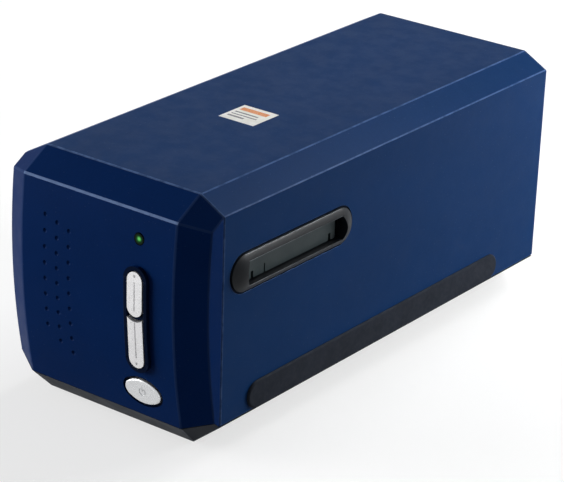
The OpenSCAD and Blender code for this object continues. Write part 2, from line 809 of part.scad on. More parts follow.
module front_bezel() color("#1b3163") difference() {
    union() {
        difference() {
            intersection() {
                shell();
                before_seam(seam_gap / 2);
            }
            base_zone(seam_gap / 2);
        }
        bezel_tongue();
        button_collar();
        for (p = board_posts) rod_y([p[0], face_y(p[1], wall / 2), p[1]], 2.2,
            button_board_y - face_y(p[1], wall / 2));
        both_sides() bezel_boss();
    }
    along_y(-far, apex_y + 12) {
        upper_button_shape(button_gap);
        lower_button_shape(button_gap);
        power_button_shape(button_gap);
    }
    difference() {
        along_y(-far, apex_y + 4) column_shape(button_gap);
        face_drum(front_r + collar_proud - pocket_depth);
    }
    difference() {
        along_y(-far, apex_y + 8) power_button_shape(oval_ring_w);
        face_drum(front_r - oval_ring_depth);
    }
    rod_y([button_x, apex_y - 10, light_z], light_r + 0.3, 20);
    for (c = dimple_columns, i = [0:c[2] - 1]) dimple(c[0], z0 + c[1] - i * c[3] * dimple_pitch);
    for (p = board_posts) rod_y([p[0], button_board_y - 5, p[1]], m2_r + fixed_fit, 6);
    both_sides() translate([bezel_screw_x, bezel_screw_y, 0])
        cylinder(r = m3_r + fixed_fit, h = face_bottom_z + 12);
}

// Boss that a screw from the base enters, tied to the front wall by a web
module bezel_boss() {
    z = face_bottom_z + 1;
    translate([bezel_screw_x, bezel_screw_y, z]) cylinder(r = 3, h = 13);
    box([bezel_screw_x - 1, face_y(z + 1, wall / 2), z], [bezel_screw_x + 1, bezel_screw_y, z + 13]);
}

module dimple(x, z) {
    r = (pow(dimple_d / 2, 2) + pow(dimple_depth, 2)) / (2 * dimple_depth);
    translate([x, face_y(z) - r + dimple_depth, z]) sphere(r, $fn = 32);
}

// Zone that a post in the base tray may fill
module base_post(p, r, top) translate([p[0], p[1], z0]) cylinder(r = r, h = top - z0);

module base_tray() color("#34383e") difference() {
    union() {
        intersection() {
            shell();
            base_zone(0);
        }
        intersection() {
            difference() {
                housing(wall - eps);
                housing(wall + tongue_t);
            }
            box([-body_w, seam_y(z0) + 4, split_z - 3], [body_w, rear_y(z0), split_z]);
        }
        difference() {
            intersection() {
                tongue_ring(wall + face_fit);
                box([-body_w, seam_y(z0) + 4, split_z - 1], [body_w, rear_y(z0) - 4, split_z + tongue_h]);
            }
            both_sides() for (y = [case_front_y, case_back_y])
                box([case_x - 5, y - 4, split_z], [body_w, y + 4, far]);
        }
        intersection() {
            housing(wall / 2);
            base_posts();
        }
    }
    both_sides() for (p = stage_feet) translate([p[0], p[1], 0]) pilot_hole(leg_foot_z, 6);
    both_sides() for (y = [case_front_y, case_back_y]) case_screw_hole(case_x, y, case_head_z);
    both_sides() case_screw_hole(bezel_screw_x, bezel_screw_y, bezel_head_z);
    for (p = plate_posts) translate([p[0], p[1], 0]) pilot_hole(plate_z, 8);
    translate([drive_x, drive_y, gear_z - 0.3 - axle_depth]) cylinder(r = axle_r + fixed_fit, h = far);
    translate([idler_post_x, idler_post_y, 0]) pilot_hole(idler_plate_z, 6);
    for (p = board_feet) translate([p[0], p[1], 0]) pilot_hole(main_board_z, 5);
    both_sides() for (y = bracket_screw_y) translate([bracket_screw_x, y, 0]) pilot_hole(floor_z + 1, 2.6);
    both_sides() for (y = foot_rows) translate([foot_x, y, -far])
        cylinder(r = foot_r + 0.1, h = far + z0 + foot_recess);
}

// Blind hole for a small screw, from z down by depth
module pilot_hole(z, depth) translate([0, 0, z - depth]) cylinder(r = m2_r + fixed_fit, h = depth + eps);

module case_screw_hole(x, y, head_z) translate([x, y, 0]) {
    cylinder(r = m3_r + 0.1, h = far);
    cylinder(r = m3_head_r + 0.4, h = head_z);
}

module base_posts() {
    both_sides() {
        for (p = stage_feet) base_post(p, 4, leg_foot_z);
        for (y = [case_front_y, case_back_y]) base_post([case_x, y], 4.4, split_z);
        base_post([bezel_screw_x, bezel_screw_y], 4.4, face_bottom_z + 0.8);
    }
    for (p = plate_posts) base_post(p, 3.6, plate_z);
    base_post([drive_x, drive_y], 4, gear_z - 0.3);
    base_post([idler_post_x, idler_post_y], 4, idler_plate_z);
    for (p = board_feet) base_post(p, 3, main_board_z);
    both_sides() for (y = bracket_screw_y) base_post([bracket_screw_x, y], 3.4, floor_z + 1);
}

module rubber_feet() color("#202123") both_sides() for (y = foot_rows)
    translate([foot_x, y, 0]) cylinder(r = foot_r, h = z0 + foot_recess);

module side_strip() translate([half_w, (seam_y(z0) + rear_y(z0)) / 2 - 8, z0 + strip_up])
    pad_along_y(strip_l, strip_h) pad_edge(strip_h / 2, strip_proud, strip_proud * 0.9);

module right_side_strip() color("#3a3b42") side_strip();

module left_side_strip() color("#3a3b42") mirror([1, 0, 0]) side_strip();

module top_sticker() color("#e8e8e4") translate([-label_w / 2, label_y, z_top - label_t])
    cube([label_w, label_l, label_t]);

// ---------- slot trims and dust flaps ----------

// Half section of the trim's domed frame, as distance from the middle and height
module dome_edge() intersection() {
    translate([0, -groove_depth]) square([trim_h / 2, trim_proud + groove_depth]);
    translate([0, trim_proud - dome_r]) circle(dome_r);
}

// Outline of the trim's mouth, with bowed ends
module mouth_shape() intersection() {
    square([mouth_l, slot_h], center = true);
    union() {
        square([mouth_l - 2 * mouth_end_r, 2 * slot_h], center = true);
        for (s = [-1, 1]) translate([s * (mouth_l / 2 - mouth_end_r), 0]) circle(mouth_end_r);
    }
}

module slot_trim() difference() {
    union() {
        translate([half_w, slot_y, slot_z]) pad_along_y(trim_l, trim_h) dome_edge();
        box([inner_w, slot_y - spigot_l / 2, spigot_bottom],
            [half_w - groove_depth + eps, slot_y + spigot_l / 2, spigot_top]);
        for (s = [-1, 1]) trim_cheek(s);
    }
    along_x(pivot_x, half_w + trim_proud + 1) translate([slot_y, slot_z]) mouth_shape();
    box([inner_w - 1, slot_y - spigot_l / 2 + cheek_t, slot_bottom],
        [pivot_x + barrel_r + face_fit, slot_y + spigot_l / 2 - cheek_t, spigot_top + eps]);
    rod_y([pivot_x, slot_y - spigot_l / 2 - eps, pivot_z], pin_r + fixed_fit, spigot_l + 2 * eps);
    rod_y([pivot_x - coil_r, slot_y - far / 2, pivot_z - coil_drop], spring_wire_r + fixed_fit, far);
}

// Cheek that carries one end of the hinge pin
module trim_cheek(s) {
    y = slot_y + s * (spigot_l / 2 - cheek_t / 2);
    box([pivot_x - 2.4, y - cheek_t / 2, stage_top + 0.4], [inner_w + eps, y + cheek_t / 2, spigot_top]);
}

module right_slot_trim() color("#43474b") slot_trim();

module left_slot_trim() color("#43474b") mirror([1, 0, 0]) slot_trim();

// Notches in a flap's lower edge: distance from its front end, width, height
flap_notches = [[5.6, 1.6, 3.4], [14.6, 0.8, 4.4], [60.6, 1.8, 3.4]];

module dust_flap() {
    front = slot_y - spigot_l / 2 + cheek_t + flap_end_gap;
    back = slot_y + spigot_l / 2 - cheek_t - flap_end_gap;
    difference() {
        union() {
            rod_y([pivot_x, front + spring_l, pivot_z], barrel_r, back - front - spring_l);
            box([flap_outer - flap_t, front + spring_l, pivot_z - flap_len],
                [flap_outer, back - flap_relief, pivot_z]);
            box([flap_outer - flap_t, front, pivot_z - flap_len],
                [flap_outer, front + spring_l + 1, pivot_z - barrel_r - 1.5]);
        }
        rod_y([pivot_x, front - 1, pivot_z], pin_r + run_fit, back - front + 2);
        for (n = flap_notches) box([0, front + n[0], pivot_z - flap_len - 1],
            [far, front + n[0] + n[1], pivot_z - flap_len + n[2]]);
    }
}

module right_dust_flap() color("#4a5154") dust_flap();

module left_dust_flap() color("#4a5154") mirror([1, 0, 0]) dust_flap();

module flap_hinge_pins() color("silver") both_sides()
    rod_y([pivot_x, slot_y - spigot_l / 2, pivot_z], pin_r, spigot_l);

// Torsion spring round the hinge pin on side s: one end in the cheek and one on the flap
module flap_spring(s) {
    start = slot_y - spigot_l / 2 + cheek_t + flap_end_gap + 0.4;
    steps = 16;
    coil = [for (i = [0:coil_turns * steps]) let (a = 360 * i / steps)
        [pivot_x - coil_r * cos(a), start + coil_pitch * i / steps, pivot_z + coil_r * sin(a)]];
    path = concat([[pivot_x - coil_r, start - 1.6, pivot_z - coil_drop],
        [pivot_x - coil_r, start - 0.1, pivot_z - coil_drop]], coil,
        [[flap_outer - flap_t - spring_wire_r - fixed_fit, start + coil_pitch * coil_turns + 0.2,
            pivot_z - 6]]);
    wire([for (p = path) [s * p[0], p[1], p[2]]], spring_wire_r);
}

module right_flap_spring() color("silver") flap_spring(1);

module left_flap_spring() color("silver") flap_spring(-1);

// ---------- front controls ----------

// Button from its bowed face to the flange behind the wall, with a post to its switch
module button(proud, low_z, high_z, post_z, post_end) {
    flange_y = max(face_y(low_z, wall), face_y(high_z, wall)) + 0.15;
    intersection() {
        along_y(apex_y - 10, flange_y + eps) children(0);
        face_drum(front_r + proud);
    }
    along_y(flange_y, flange_y + flange_thick) children(1);
    if (post_end > flange_y + flange_thick)
        rod_y([button_x, flange_y + flange_thick - eps, post_z], 1.5, post_end - flange_y - flange_thick);
}

module upper_scan_button() color("#cfcfd0") button(button_proud, z0 + upper_button_z,
    z0 + upper_button_z + upper_button_h, switch_z[0], post_end) {
    upper_button_shape();
    upper_button_shape(flange_w);
}

module lower_scan_button() color("#cfcfd0") button(button_proud, z0 + lower_button_z,
    z0 + upper_button_z, switch_z[1], post_end) {
    lower_button_shape();
    lower_button_shape(flange_w);
}

module power_button() color("#abaeb0") button(oval_proud, z0 + oval_z - oval_h / 2 - flange_w,
    z0 + oval_z + oval_h / 2, switch_z[2], post_end) {
    power_button_shape();
    power_button_shape(flange_w);
}

module button_board() color("#1f5a36") {
    difference() {
        box([button_board_x0, button_board_y, button_board_z0],
            [button_board_x1, button_board_y + board_t, button_board_z1]);
        for (p = board_posts) rod_y([p[0], button_board_y - 1, p[1]], m2_r + 0.1, board_t + 2);
    }
    box([button_x - 5, button_board_y + board_t - eps, button_board_z1 - 18],
        [button_x + 5, button_board_y + board_t + 3, button_board_z1 - 13]);
}

module tact_switches() color("#26282b") for (z = switch_z) {
    box([button_x - 3, button_board_y - 3.2, z - 3], [button_x + 3, button_board_y, z + 3]);
    rod_y([button_x, switch_top_y, z], 1.4, 1);
}

module status_light_pipe() color("#38c84a") {
    y = face_y(light_z) - 0.2;
    rod_y([button_x, y, light_z], light_r, button_board_y - y);
}

// ---------- film stage ----------

module film_stage() color("#25272a") difference() {
    union() {
        box([-stage_half, stage_front, stage_top - stage_t], [stage_half, stage_back, stage_top]);
        box([tab_x, stage_back - eps, stage_top - stage_t], [tab_x + tab_w, stage_back + tab_d, stage_top]);
        translate([detent_x, detent_y, stage_top - eps]) cylinder(r = detent_pin_r, h = detent_h + 1.2);
        box([detent_post_x, detent_y + 2.5, stage_top - eps],
            [detent_post_x + 2.5, stage_back + tab_d, detent_z + detent_h]);
        both_sides() for (p = stage_feet) {
            box([leg_x, p[1] - leg_l / 2, leg_foot_z],
                [leg_x + leg_t, p[1] + leg_l / 2, stage_top - stage_t + eps]);
            box([leg_x + leg_t - leg_foot_w, p[1] - leg_l / 2, leg_foot_z],
                [leg_x + leg_t, p[1] + leg_l / 2, leg_foot_z + leg_foot_t]);
        }
    }
    box([-window_half_x, slot_y - window_l / 2, 0], [window_half_x, slot_y + window_l / 2, stage_top + 1]);
    both_sides() for (p = stage_feet) translate([p[0], p[1], leg_foot_z - 1])
        cylinder(r = m2_r + 0.1, h = leg_foot_t + 2);
    for (p = guide_screws) translate([p[0], p[1], 0]) cylinder(r = m2_r + 0.1, h = far);
}

// Roof of the film channel: a windowed plate on a rail at the front and one at the back
module upper_guide() color("#2b2d31") difference() {
    union() {
        box([-guide_half, slot_y - channel_half - rail_t, guide_bottom],
            [guide_half, slot_y + channel_half + rail_t, guide_top]);
        for (s = [-1, 1]) translate([-guide_half, slot_y + s * (channel_half + rail_t / 2) - rail_t / 2,
            stage_top])
            cube([2 * guide_half, rail_t, channel_h + eps]);
    }
    box([-window_half_x - 4, slot_y - window_l / 2, stage_top + 1],
        [window_half_x + 4, slot_y + window_l / 2, far]);
    box([nose_x - 2.6, slot_y + channel_half - eps, detent_z - 0.6],
        [nose_x + 2.6, slot_y + channel_half + rail_t + eps, detent_z + detent_h + 0.6]);
    for (p = guide_screws) translate([p[0], p[1], stage_top]) pilot_hole(7, 7 + eps);
}

// Lever whose nose clicks into the holder's notches
module detent_lever() color("#c9c2ae") difference() {
    union() {
        translate([detent_x, detent_y, detent_z]) cylinder(r = 2.4, h = detent_h);
        box([nose_x - 1.5, detent_y - detent_t / 2, detent_z],
            [detent_x, detent_y + detent_t / 2, detent_z + detent_h]);
        translate([nose_x, 0, detent_z]) linear_extrude(detent_h) polygon([[-1.5, detent_y],
            [-0.6, slot_y + channel_half - nose_depth], [0.6, slot_y + channel_half - nose_depth],
                [1.5, detent_y]]);
    }
    translate([detent_x, detent_y, detent_z - 1]) cylinder(r = detent_pin_r + run_fit, h = detent_h + 2);
}

// Leaf spring from a post on the stage's tab to the back of the lever
module detent_spring() color("silver") {
    y = detent_y + 2.5;
    back = detent_y + detent_t / 2;
    translate([0, 0, detent_z + 1]) linear_extrude(detent_h - 2) polygon([[detent_post_x + 2.5, y - leaf_t],
        [detent_post_x + 2.5, y], [detent_post_x, y], [nose_x, back + leaf_t], [nose_x, back],
            [detent_post_x, y - leaf_t]]);
}

// ---------- scan carriage ----------

// Frame of the fold mirror: its reflecting face is z = 0, sloping down to the rear
module mirror_frame() translate([0, scan_y, optic_z]) rotate([-45, 0, 0]) children();

// Sloped ledge on the right wall of the chamber with a stop for the mirror's low edge
module mirror_ledge() {
    x0 = mirror_w / 2 - 2;
    x1 = chamber_half_w - chamber_wall + eps;
    intersection() {
        mirror_frame() box([-far, -far, -far], [far, mirror_l / 2 + 2, -mirror_t]);
        box([x0, chamber_y0 + 1, chamber_z + 1], [x1, lens_y, chamber_top - 4]);
    }
    mirror_frame() box([x0, mirror_l / 2, -mirror_t - 2], [x1, mirror_l / 2 + 2, 0.6]);
}

module bush_boss(y) {
    l = bush_l + 2;
    rod_y([-rod_x, y - l / 2, rod_z], boss_r, l);
    box([-rod_x, y - l / 2, rod_z - boss_r * 0.8], [1 - chamber_half_w, y + l / 2, rod_z + boss_r * 0.8]);
}

module optical_chamber() color("#26282c") difference() {
    union() {
        difference() {
            box([-chamber_half_w, chamber_y0, chamber_z], [chamber_half_w, chamber_y1, chamber_top]);
            box([chamber_wall - chamber_half_w, chamber_y0 + chamber_wall, chamber_z + chamber_wall],
                [chamber_half_w - chamber_wall, chamber_y1 - chamber_wall, far]);
        }
        both_sides() mirror_ledge();
        box([-cradle_half, lens_y - cradle_l / 2, chamber_z + 1],
            [cradle_half, lens_y + cradle_l / 2, cradle_z]);
        for (p = lid_screws) translate([p[0], p[1], chamber_z + 1])
            cylinder(r = 2.2, h = chamber_h - 1);
        bush_boss(bush_front_y);
        bush_boss(bush_back_y);
        box([chamber_half_w - 1, fork_y - fork_l / 2, rod_z - fork_half],
            [rod_x + rod_r + 1, fork_y + fork_l / 2, rod_z + fork_half]);
    }
    for (y = [bush_front_y, bush_back_y]) rod_y([-rod_x, y - bush_l, rod_z], bush_r + fixed_fit, 2 * bush_l);
    box([rod_x - rod_r - 1, fork_y - fork_l, rod_z - rod_r - run_fit],
        [far, fork_y + fork_l, rod_z + rod_r + run_fit]);
    rod_y([0, lens_y - lens_l, optic_z], lens_r + fixed_fit, 2 * lens_l);
    box([-line_half - 0.1, chamber_y1 - 2 * chamber_wall, optic_z - line_h / 2 - 0.1],
        [line_half + 0.1, chamber_y1 + 1, optic_z + line_h / 2 + 0.1]);
    for (p = lid_screws) translate([p[0], p[1], 0]) pilot_hole(chamber_top, 7);
    for (p = sensor_screws) rod_y([p[0], chamber_y1 - chamber_wall - eps, p[1]], m2_r + fixed_fit, far);
    for (p = strap_screws) translate([p[0], p[1], 0]) pilot_hole(cradle_z, 6);
    for (p = clamp_screws) rod_x([chamber_half_w - chamber_wall - eps, p[0], p[1]], m2_r + fixed_fit, far);
}

module chamber_lid() color("#2c2e33") difference() {
    box([-chamber_half_w, chamber_y0, chamber_top], [chamber_half_w, chamber_y1, lid_top]);
    box([-mirror_w / 2, scan_y - 1.5, 0], [mirror_w / 2, scan_y + 1.5, far]);
    for (p = lid_screws) translate([p[0], p[1], 0]) cylinder(r = m2_r + 0.1, h = far);
    for (p = arm_screws) translate([p[0], p[1], 0]) cylinder(r = m2_r + fixed_fit, h = far);
    translate([flag_x, flag_screw_y, 0]) cylinder(r = m2_r + fixed_fit, h = far);
}

module fold_mirror() color("#dfe6ea") mirror_frame()
    box([-mirror_w / 2, -mirror_l / 2, -mirror_t], [mirror_w / 2, mirror_l / 2, 0]);

module lens_barrel() color("#15161a") translate([0, lens_y - lens_l / 2, optic_z]) rotate([-90, 0, 0])
    difference() {
        cylinder(r = lens_r, h = lens_l);
        translate([0, 0, -eps]) cylinder(r = lens_r - 2.2, h = 3);
        translate([0, 0, lens_l - 3]) cylinder(r = lens_r - 2.2, h = 4);
    }

module lens_clamp() color("#8f9499") difference() {
    union() {
        rod_y([0, lens_y - cradle_l / 2 + 2, optic_z], lens_r + strap_t, cradle_l - 4);
        both_sides() box([lens_r - 1, lens_y - cradle_l / 2 + 2, cradle_z],
            [cradle_half, lens_y + cradle_l / 2 - 2, cradle_z + strap_t]);
    }
    rod_y([0, lens_y - lens_l, optic_z], lens_r + fixed_fit, 2 * lens_l);
    box([-far, -far, 0], [far, far, cradle_z]);
    for (p = strap_screws) translate([p[0], p[1], 0]) cylinder(r = m2_r + 0.1, h = far);
}

module sensor_board() color("#1f5a36") {
    difference() {
        box([-sensor_half, sensor_y, optic_z - sensor_h / 2],
            [sensor_half, sensor_y + board_t, optic_z + sensor_h / 2]);
        for (p = sensor_screws) rod_y([p[0], sensor_y - 1, p[1]], m2_r + 0.1, board_t + 2);
    }
    box([ribbon_x - ribbon_half - 1, sensor_y + board_t - eps, ribbon_top - 1],
        [ribbon_x + ribbon_half + 1, sensor_y + board_t + 1.2, ribbon_top + 3]);
}

module line_sensor() color("#3c3f45") difference() {
    box([-line_half, sensor_y - line_t, optic_z - line_h / 2], [line_half, sensor_y, optic_z + line_h / 2]);
    box([2 - line_half, sensor_y - line_t - 1, optic_z - line_h / 4],
        [line_half - 2, sensor_y - line_t + 0.5, optic_z + line_h / 4]);
}

// Flat cable from the sensor board down, back in a bend and up to the main board
module sensor_ribbon() color("#d9d4c4") {
    y0 = sensor_y + board_t + 1.2;
    r = 5;
    low = ribbon_low;
    y2 = main_board_y + 1;
    y1 = y2 - 6;
    z2 = main_board_z + board_t + 1;
    translate([ribbon_x - ribbon_half, 0, 0]) {
        box([0, y0, low + r], [2 * ribbon_half, y0 + ribbon_t, ribbon_top + 3]);
        ribbon_bend(y0 + r, low + r, r, 270);
        box([0, y0 + r, low], [2 * ribbon_half, y1 - r, low + ribbon_t]);
        ribbon_bend(y1 - r, low + r, r, 0);
        box([0, y1 - ribbon_t, low + r], [2 * ribbon_half, y1, z2 - 1.5]);
        ribbon_bend(y1 + 1.5 - ribbon_t, z2 - 1.5, 1.5, 180);
        box([0, y1 + 1.5 - ribbon_t, z2 - ribbon_t], [2 * ribbon_half, y2 + 1, z2]);
    }
}

// Quarter of a bend with its centre at (y, z), from angle a on
module ribbon_bend(y, z, r, a) translate([0, y, z]) rotate([0, 90, 0])
    intersection() {
        difference() {
            cylinder(r = r, h = 2 * ribbon_half);
            translate([0, 0, -1]) cylinder(r = r - ribbon_t, h = far);
        }
        rotate([0, 0, a]) translate([-eps, -eps, 0]) cube([2 * r, 2 * r, 2 * ribbon_half]);
    }

module lamp_arm() color("#33363b") difference() {
    union() {
        box([-arm_half, arm_y, lid_top], [arm_half, arm_y + arm_foot_l, lid_top + arm_t]);
        box([-arm_half, arm_y, lid_top], [arm_half, arm_y + arm_t, beam_z + arm_t]);
        box([-beam_half, scan_y - beam_half, beam_z], [beam_half, arm_y + arm_t, beam_z + arm_t]);
        both_sides() along_x(arm_half - 2, arm_half) polygon([[arm_y + arm_t - eps, lid_top + arm_t - eps],
            [arm_y + arm_t + 9, lid_top + arm_t - eps], [arm_y + arm_t - eps, lid_top + arm_t + 18]]);
    }
    for (p = arm_screws) translate([p[0], p[1], 0]) cylinder(r = m2_r + 0.1, h = far);
    for (p = lamp_screws) translate([p[0], p[1], 0]) cylinder(r = m2_r + 0.1, h = far);
}

module lamp_housing() color("#d5d5d2") difference() {
    box([-lamp_half_x, scan_y - lamp_l / 2, lamp_z], [lamp_half_x, scan_y + lamp_l / 2, beam_z]);
    box([lamp_wall - lamp_half_x, scan_y - lamp_l / 2 + lamp_wall, lamp_z - 1],
        [lamp_half_x - lamp_wall, scan_y + lamp_l / 2 - lamp_wall, beam_z - lamp_wall]);
    for (p = lamp_screws) translate([p[0], p[1], 0]) cylinder(r = m2_r + fixed_fit, h = far);
}

module led_strip() color("#f1efe0") {
    box([lamp_wall - lamp_half_x + 1, scan_y - strip_half, beam_z - lamp_wall - strip_board_t],
        [lamp_half_x - lamp_wall - 1, scan_y + strip_half, beam_z - lamp_wall]);
    for (i = [-3:3]) box([i * 6 - 1.5, scan_y - 1.5, beam_z - lamp_wall - strip_board_t - 0.8],
        [i * 6 + 1.5, scan_y + 1.5, beam_z - lamp_wall - strip_board_t + eps]);
}

module lamp_diffuser() color("#f4f6f6")
    box([lamp_wall - lamp_half_x, scan_y - lamp_l / 2 + lamp_wall, lamp_z],
        [lamp_half_x - lamp_wall, scan_y + lamp_l / 2 - lamp_wall, lamp_z + 1.5]);

module belt_clamp() color("#3b3e44") difference() {
    union() {
        box([chamber_half_w, clamp_y - 8, chamber_z],
            [chamber_half_w + 2.5, clamp_y + 8, rod_z - fork_half - 1]);
        box([chamber_half_w, clamp_y - 5, belt_z - 2],
            [drive_x - belt_in + 3, clamp_y + 5, belt_z + belt_w + 1]);
    }
    box([drive_x - belt_out - 0.15, -far, belt_z - 0.15], [drive_x - belt_in + 0.15, far, far]);
    for (p = clamp_screws) rod_x([0, p[0], p[1]], m2_r + 0.1, far);
}

module rod_bushes() color("#b08d57") for (y = [bush_front_y, bush_back_y]) difference() {
    rod_y([-rod_x, y - bush_l / 2, rod_z], bush_r, bush_l);
    rod_y([-rod_x, y - bush_l, rod_z], rod_r + run_fit, 2 * bush_l);
}

module home_flag() color("#3b3e44") difference() {
    union() {
        box([flag_x - 3, flag_screw_y - 4, lid_top], [flag_x + 3, flag_y + flag_l, lid_top + 1.2]);
        box([flag_x - flag_t / 2, flag_y, rod_z], [flag_x + flag_t / 2, flag_y + flag_l, lid_top + eps]);
    }
    translate([flag_x, flag_screw_y, 0]) cylinder(r = m2_r + 0.1, h = far);
}

// ---------- rods and drive ----------

module guide_rod(x) rod_y([x, rod_front, rod_z], rod_r, rod_back - rod_front);

module left_guide_rod() color("#c9ccd0") guide_rod(-rod_x);

module right_guide_rod() color("#c9ccd0") guide_rod(rod_x);

// Sheet bracket across the base; side is the way its feet point, 1 or -1
module rod_bracket(y, side) difference() {
    union() {
        box([-bracket_half, y, floor_z + 1], [bracket_half, y + bracket_t, bracket_top]);
        both_sides() box([bracket_screw_x - 6, min(y, y + side * bracket_foot + bracket_t * (1 - side) / 2),
            floor_z + 1],
            [bracket_screw_x + 6, max(y + bracket_t, y + side * bracket_foot), floor_z + 1 + bracket_t]);
    }
    box([-bracket_open_half, y - 1, bracket_open_z0],
        [bracket_open_half, y + bracket_t + 1, bracket_open_z1]);
    both_sides() rod_y([rod_x, y - 1, rod_z], rod_r + fixed_fit, bracket_t + 2);
    both_sides() for (y2 = bracket_screw_y) translate([bracket_screw_x, y2, 0])
        cylinder(r = m2_r + 0.1, h = floor_z + 4);
}

module front_rod_bracket() color("#8f9499") rod_bracket(front_bracket_y, 1);

module rear_rod_bracket() color("#8f9499") difference() {
    rod_bracket(rear_bracket_y, -1);
    for (z = home_screw_z) rod_y([flag_x - 3.2, rear_bracket_y - 1, z], m2_r + fixed_fit, bracket_t + 2);
}

module motor_bracket() color("#8f9499") difference() {
    box([plate_x0, plate_y0, plate_z], [plate_x1, plate_y1, plate_z + plate_t]);
    translate([motor_x, drive_y, 0]) cylinder(r = 5, h = far);
    translate([drive_x, drive_y, 0]) cylinder(r = axle_r + fixed_fit, h = far);
    for (p = plate_posts) translate([p[0], p[1], 0]) cylinder(r = m2_r + 0.1, h = far);
    for (p = motor_screws) translate([p[0], p[1], 0]) cylinder(r = m2_r + fixed_fit, h = far);
}

module stepper_motor() color("#b9bcc0") difference() {
    translate([motor_x, drive_y, 0]) {
        translate([0, 0, plate_z + plate_t]) cylinder(r = motor_r, h = motor_l);
        translate([0, 0, plate_z + 0.4]) cylinder(r = 4.6, h = plate_t);
        for (s = [-1, 1]) translate([0, s * ear_y, plate_z + plate_t]) cylinder(r = 3.4, h = 1.2);
        box([-3.4, -ear_y, plate_z + plate_t], [3.4, ear_y, plate_z + plate_t + 1.2]);
    }
    translate([motor_x, drive_y, 0]) cylinder(r = shaft_r + run_fit, h = plate_z + plate_t + 8);
    for (p = motor_screws) translate([p[0], p[1], 0]) cylinder(r = m2_r + 0.1, h = far);
}

module motor_pinion() color("#c8a24a") translate([motor_x, drive_y, gear_z]) {
    rotate(180 / pinion_teeth * (1 - gear_teeth % 2)) spur_gear(gear_module, pinion_teeth, gear_t);
    cylinder(r = shaft_r, h = plate_z + plate_t + 6 - gear_z);
    translate([0, 0, gear_t - eps]) cylinder(r = 2, h = 4);
}

module pulley(bore) difference() {
    union() {
        cylinder(r = flange_r, h = flange_t);
        difference() {
            cylinder(r = pulley_tip, h = belt_w + 1 + 2 * flange_t);
            for (i = [0:pulley_teeth - 1]) rotate(360 * i / pulley_teeth)
                translate([pulley_tip + 0.1, 0, flange_t])
                    cylinder(r = belt_pitch * 0.26, h = belt_w + 1, $fn = 24);
        }
        translate([0, 0, belt_w + 1 + flange_t]) cylinder(r = flange_r, h = flange_t);
    }
    translate([0, 0, -1]) cylinder(r = bore, h = far);
}

module reduction_gear() color("#e4e0d2") translate([drive_x, drive_y, 0]) {
    translate([0, 0, gear_z]) difference() {
        spur_gear(gear_module, gear_teeth, gear_t);
        translate([0, 0, -1]) cylinder(r = axle_r + run_fit, h = far);
        for (a = [0:60:300]) rotate(a + 30) translate([gear_r * 0.68, 0, -1])
            cylinder(r = gear_r * 0.15, h = far);
    }
    translate([0, 0, pulley_z]) pulley(axle_r + run_fit);
}

module gear_axle() color("silver") translate([drive_x, drive_y, gear_z - 0.3 - axle_depth])
    cylinder(r = axle_r, h = plate_z + plate_t - face_fit - (gear_z - 0.3 - axle_depth));

// Loop of the belt in (x, y), its runs at radius r from the line of centres
module belt_loop(r) {
    translate([drive_x - r, idler_y]) square([2 * r, drive_y - idler_y]);
    for (y = [idler_y, drive_y]) translate([drive_x, y]) circle(r);
}

module timing_belt() color("#1a1b1c") translate([0, 0, belt_z]) linear_extrude(belt_w) difference() {
    belt_loop(belt_out);
    belt_loop(belt_in);
}

module idler_pulley() color("#e4e0d2") translate([drive_x, idler_y, pulley_z]) difference() {
    union() {
        cylinder(r = flange_r, h = flange_t);
        cylinder(r = belt_in - 0.02, h = belt_w + 1 + 2 * flange_t);
        translate([0, 0, belt_w + 1 + flange_t]) cylinder(r = flange_r, h = flange_t);
    }
    translate([0, 0, -1]) cylinder(r = axle_r + run_fit, h = far);
}

module idler_bracket() color("#8f9499") {
    difference() {
        box([drive_x - 6, idler_y - 6, idler_plate_z], [drive_x + 5, idler_post_y + 5, idler_plate_z + 1.6]);
        for (s = [-1, 1]) translate([idler_post_x, idler_post_y + s, 0]) cylinder(r = m2_r + 0.1, h = far);
        box([idler_post_x - m2_r - 0.1, idler_post_y - 1, 0],
            [idler_post_x + m2_r + 0.1, idler_post_y + 1, far]);
    }
    translate([drive_x, idler_y, idler_plate_z]) cylinder(r = axle_r, h = pulley_top - idler_plate_z + 0.6);
    translate([drive_x, idler_y, pulley_top + 0.3]) cylinder(r = axle_r + 1, h = 0.8);
}

// ---------- electronics ----------

module main_board() color("#1f5a36") {
    difference() {
        box([main_board_x - main_board_half, main_board_y, main_board_z],
            [main_board_x + main_board_half, main_board_back, main_board_z + board_t]);
        for (p = board_feet) translate([p[0], p[1], 0]) cylinder(r = m2_r + 0.1, h = far);
    }
    top = main_board_z + board_t - eps;
    translate([main_board_x, (main_board_y + main_board_back) / 2, top]) {
        box([-14, -9.3, 0], [4, 8.7, 1.6]);
        box([8, -1.3, 0], [18, 8.7, 1.4]);
        box([-20, -17.3, 0], [-4, -12.3, 7]);
        for (y = [-2.3, 5.7]) translate([-19, y, 0]) cylinder(r = 3, h = 9);
    }
    box([ribbon_x - ribbon_half - 1, main_board_y + 1, top],
        [ribbon_x + ribbon_half + 1, main_board_y + 5, top + 0.7]);
}

module usb_socket() color("#c9ccd0") translate([usb_x - usb_w / 2, port_y - usb_d, main_board_z + board_t]) {
    difference() {
        cube([usb_w, usb_d, usb_h]);
        translate([usb_wall, 3, usb_wall]) cube([usb_w - 2 * usb_wall, usb_d, usb_h - 2 * usb_wall]);
    }
    translate([usb_w / 2 - 2.8, 3 - eps, usb_h / 2 - 1.6]) cube([5.6, usb_d / 2, 3.2]);
}

module dc_jack() color("#17181a") translate([jack_x, port_y, main_board_z + board_t + jack_h / 2]) {
    difference() {
        box([-jack_w / 2, -jack_d, -jack_h / 2], [jack_w / 2, 0, jack_h / 2]);
        rod_y([0, -jack_d + 3, 0], 3, jack_d);
    }
    rod_y([0, -jack_d + 3 - eps, 0], 1, jack_d - 4);
}

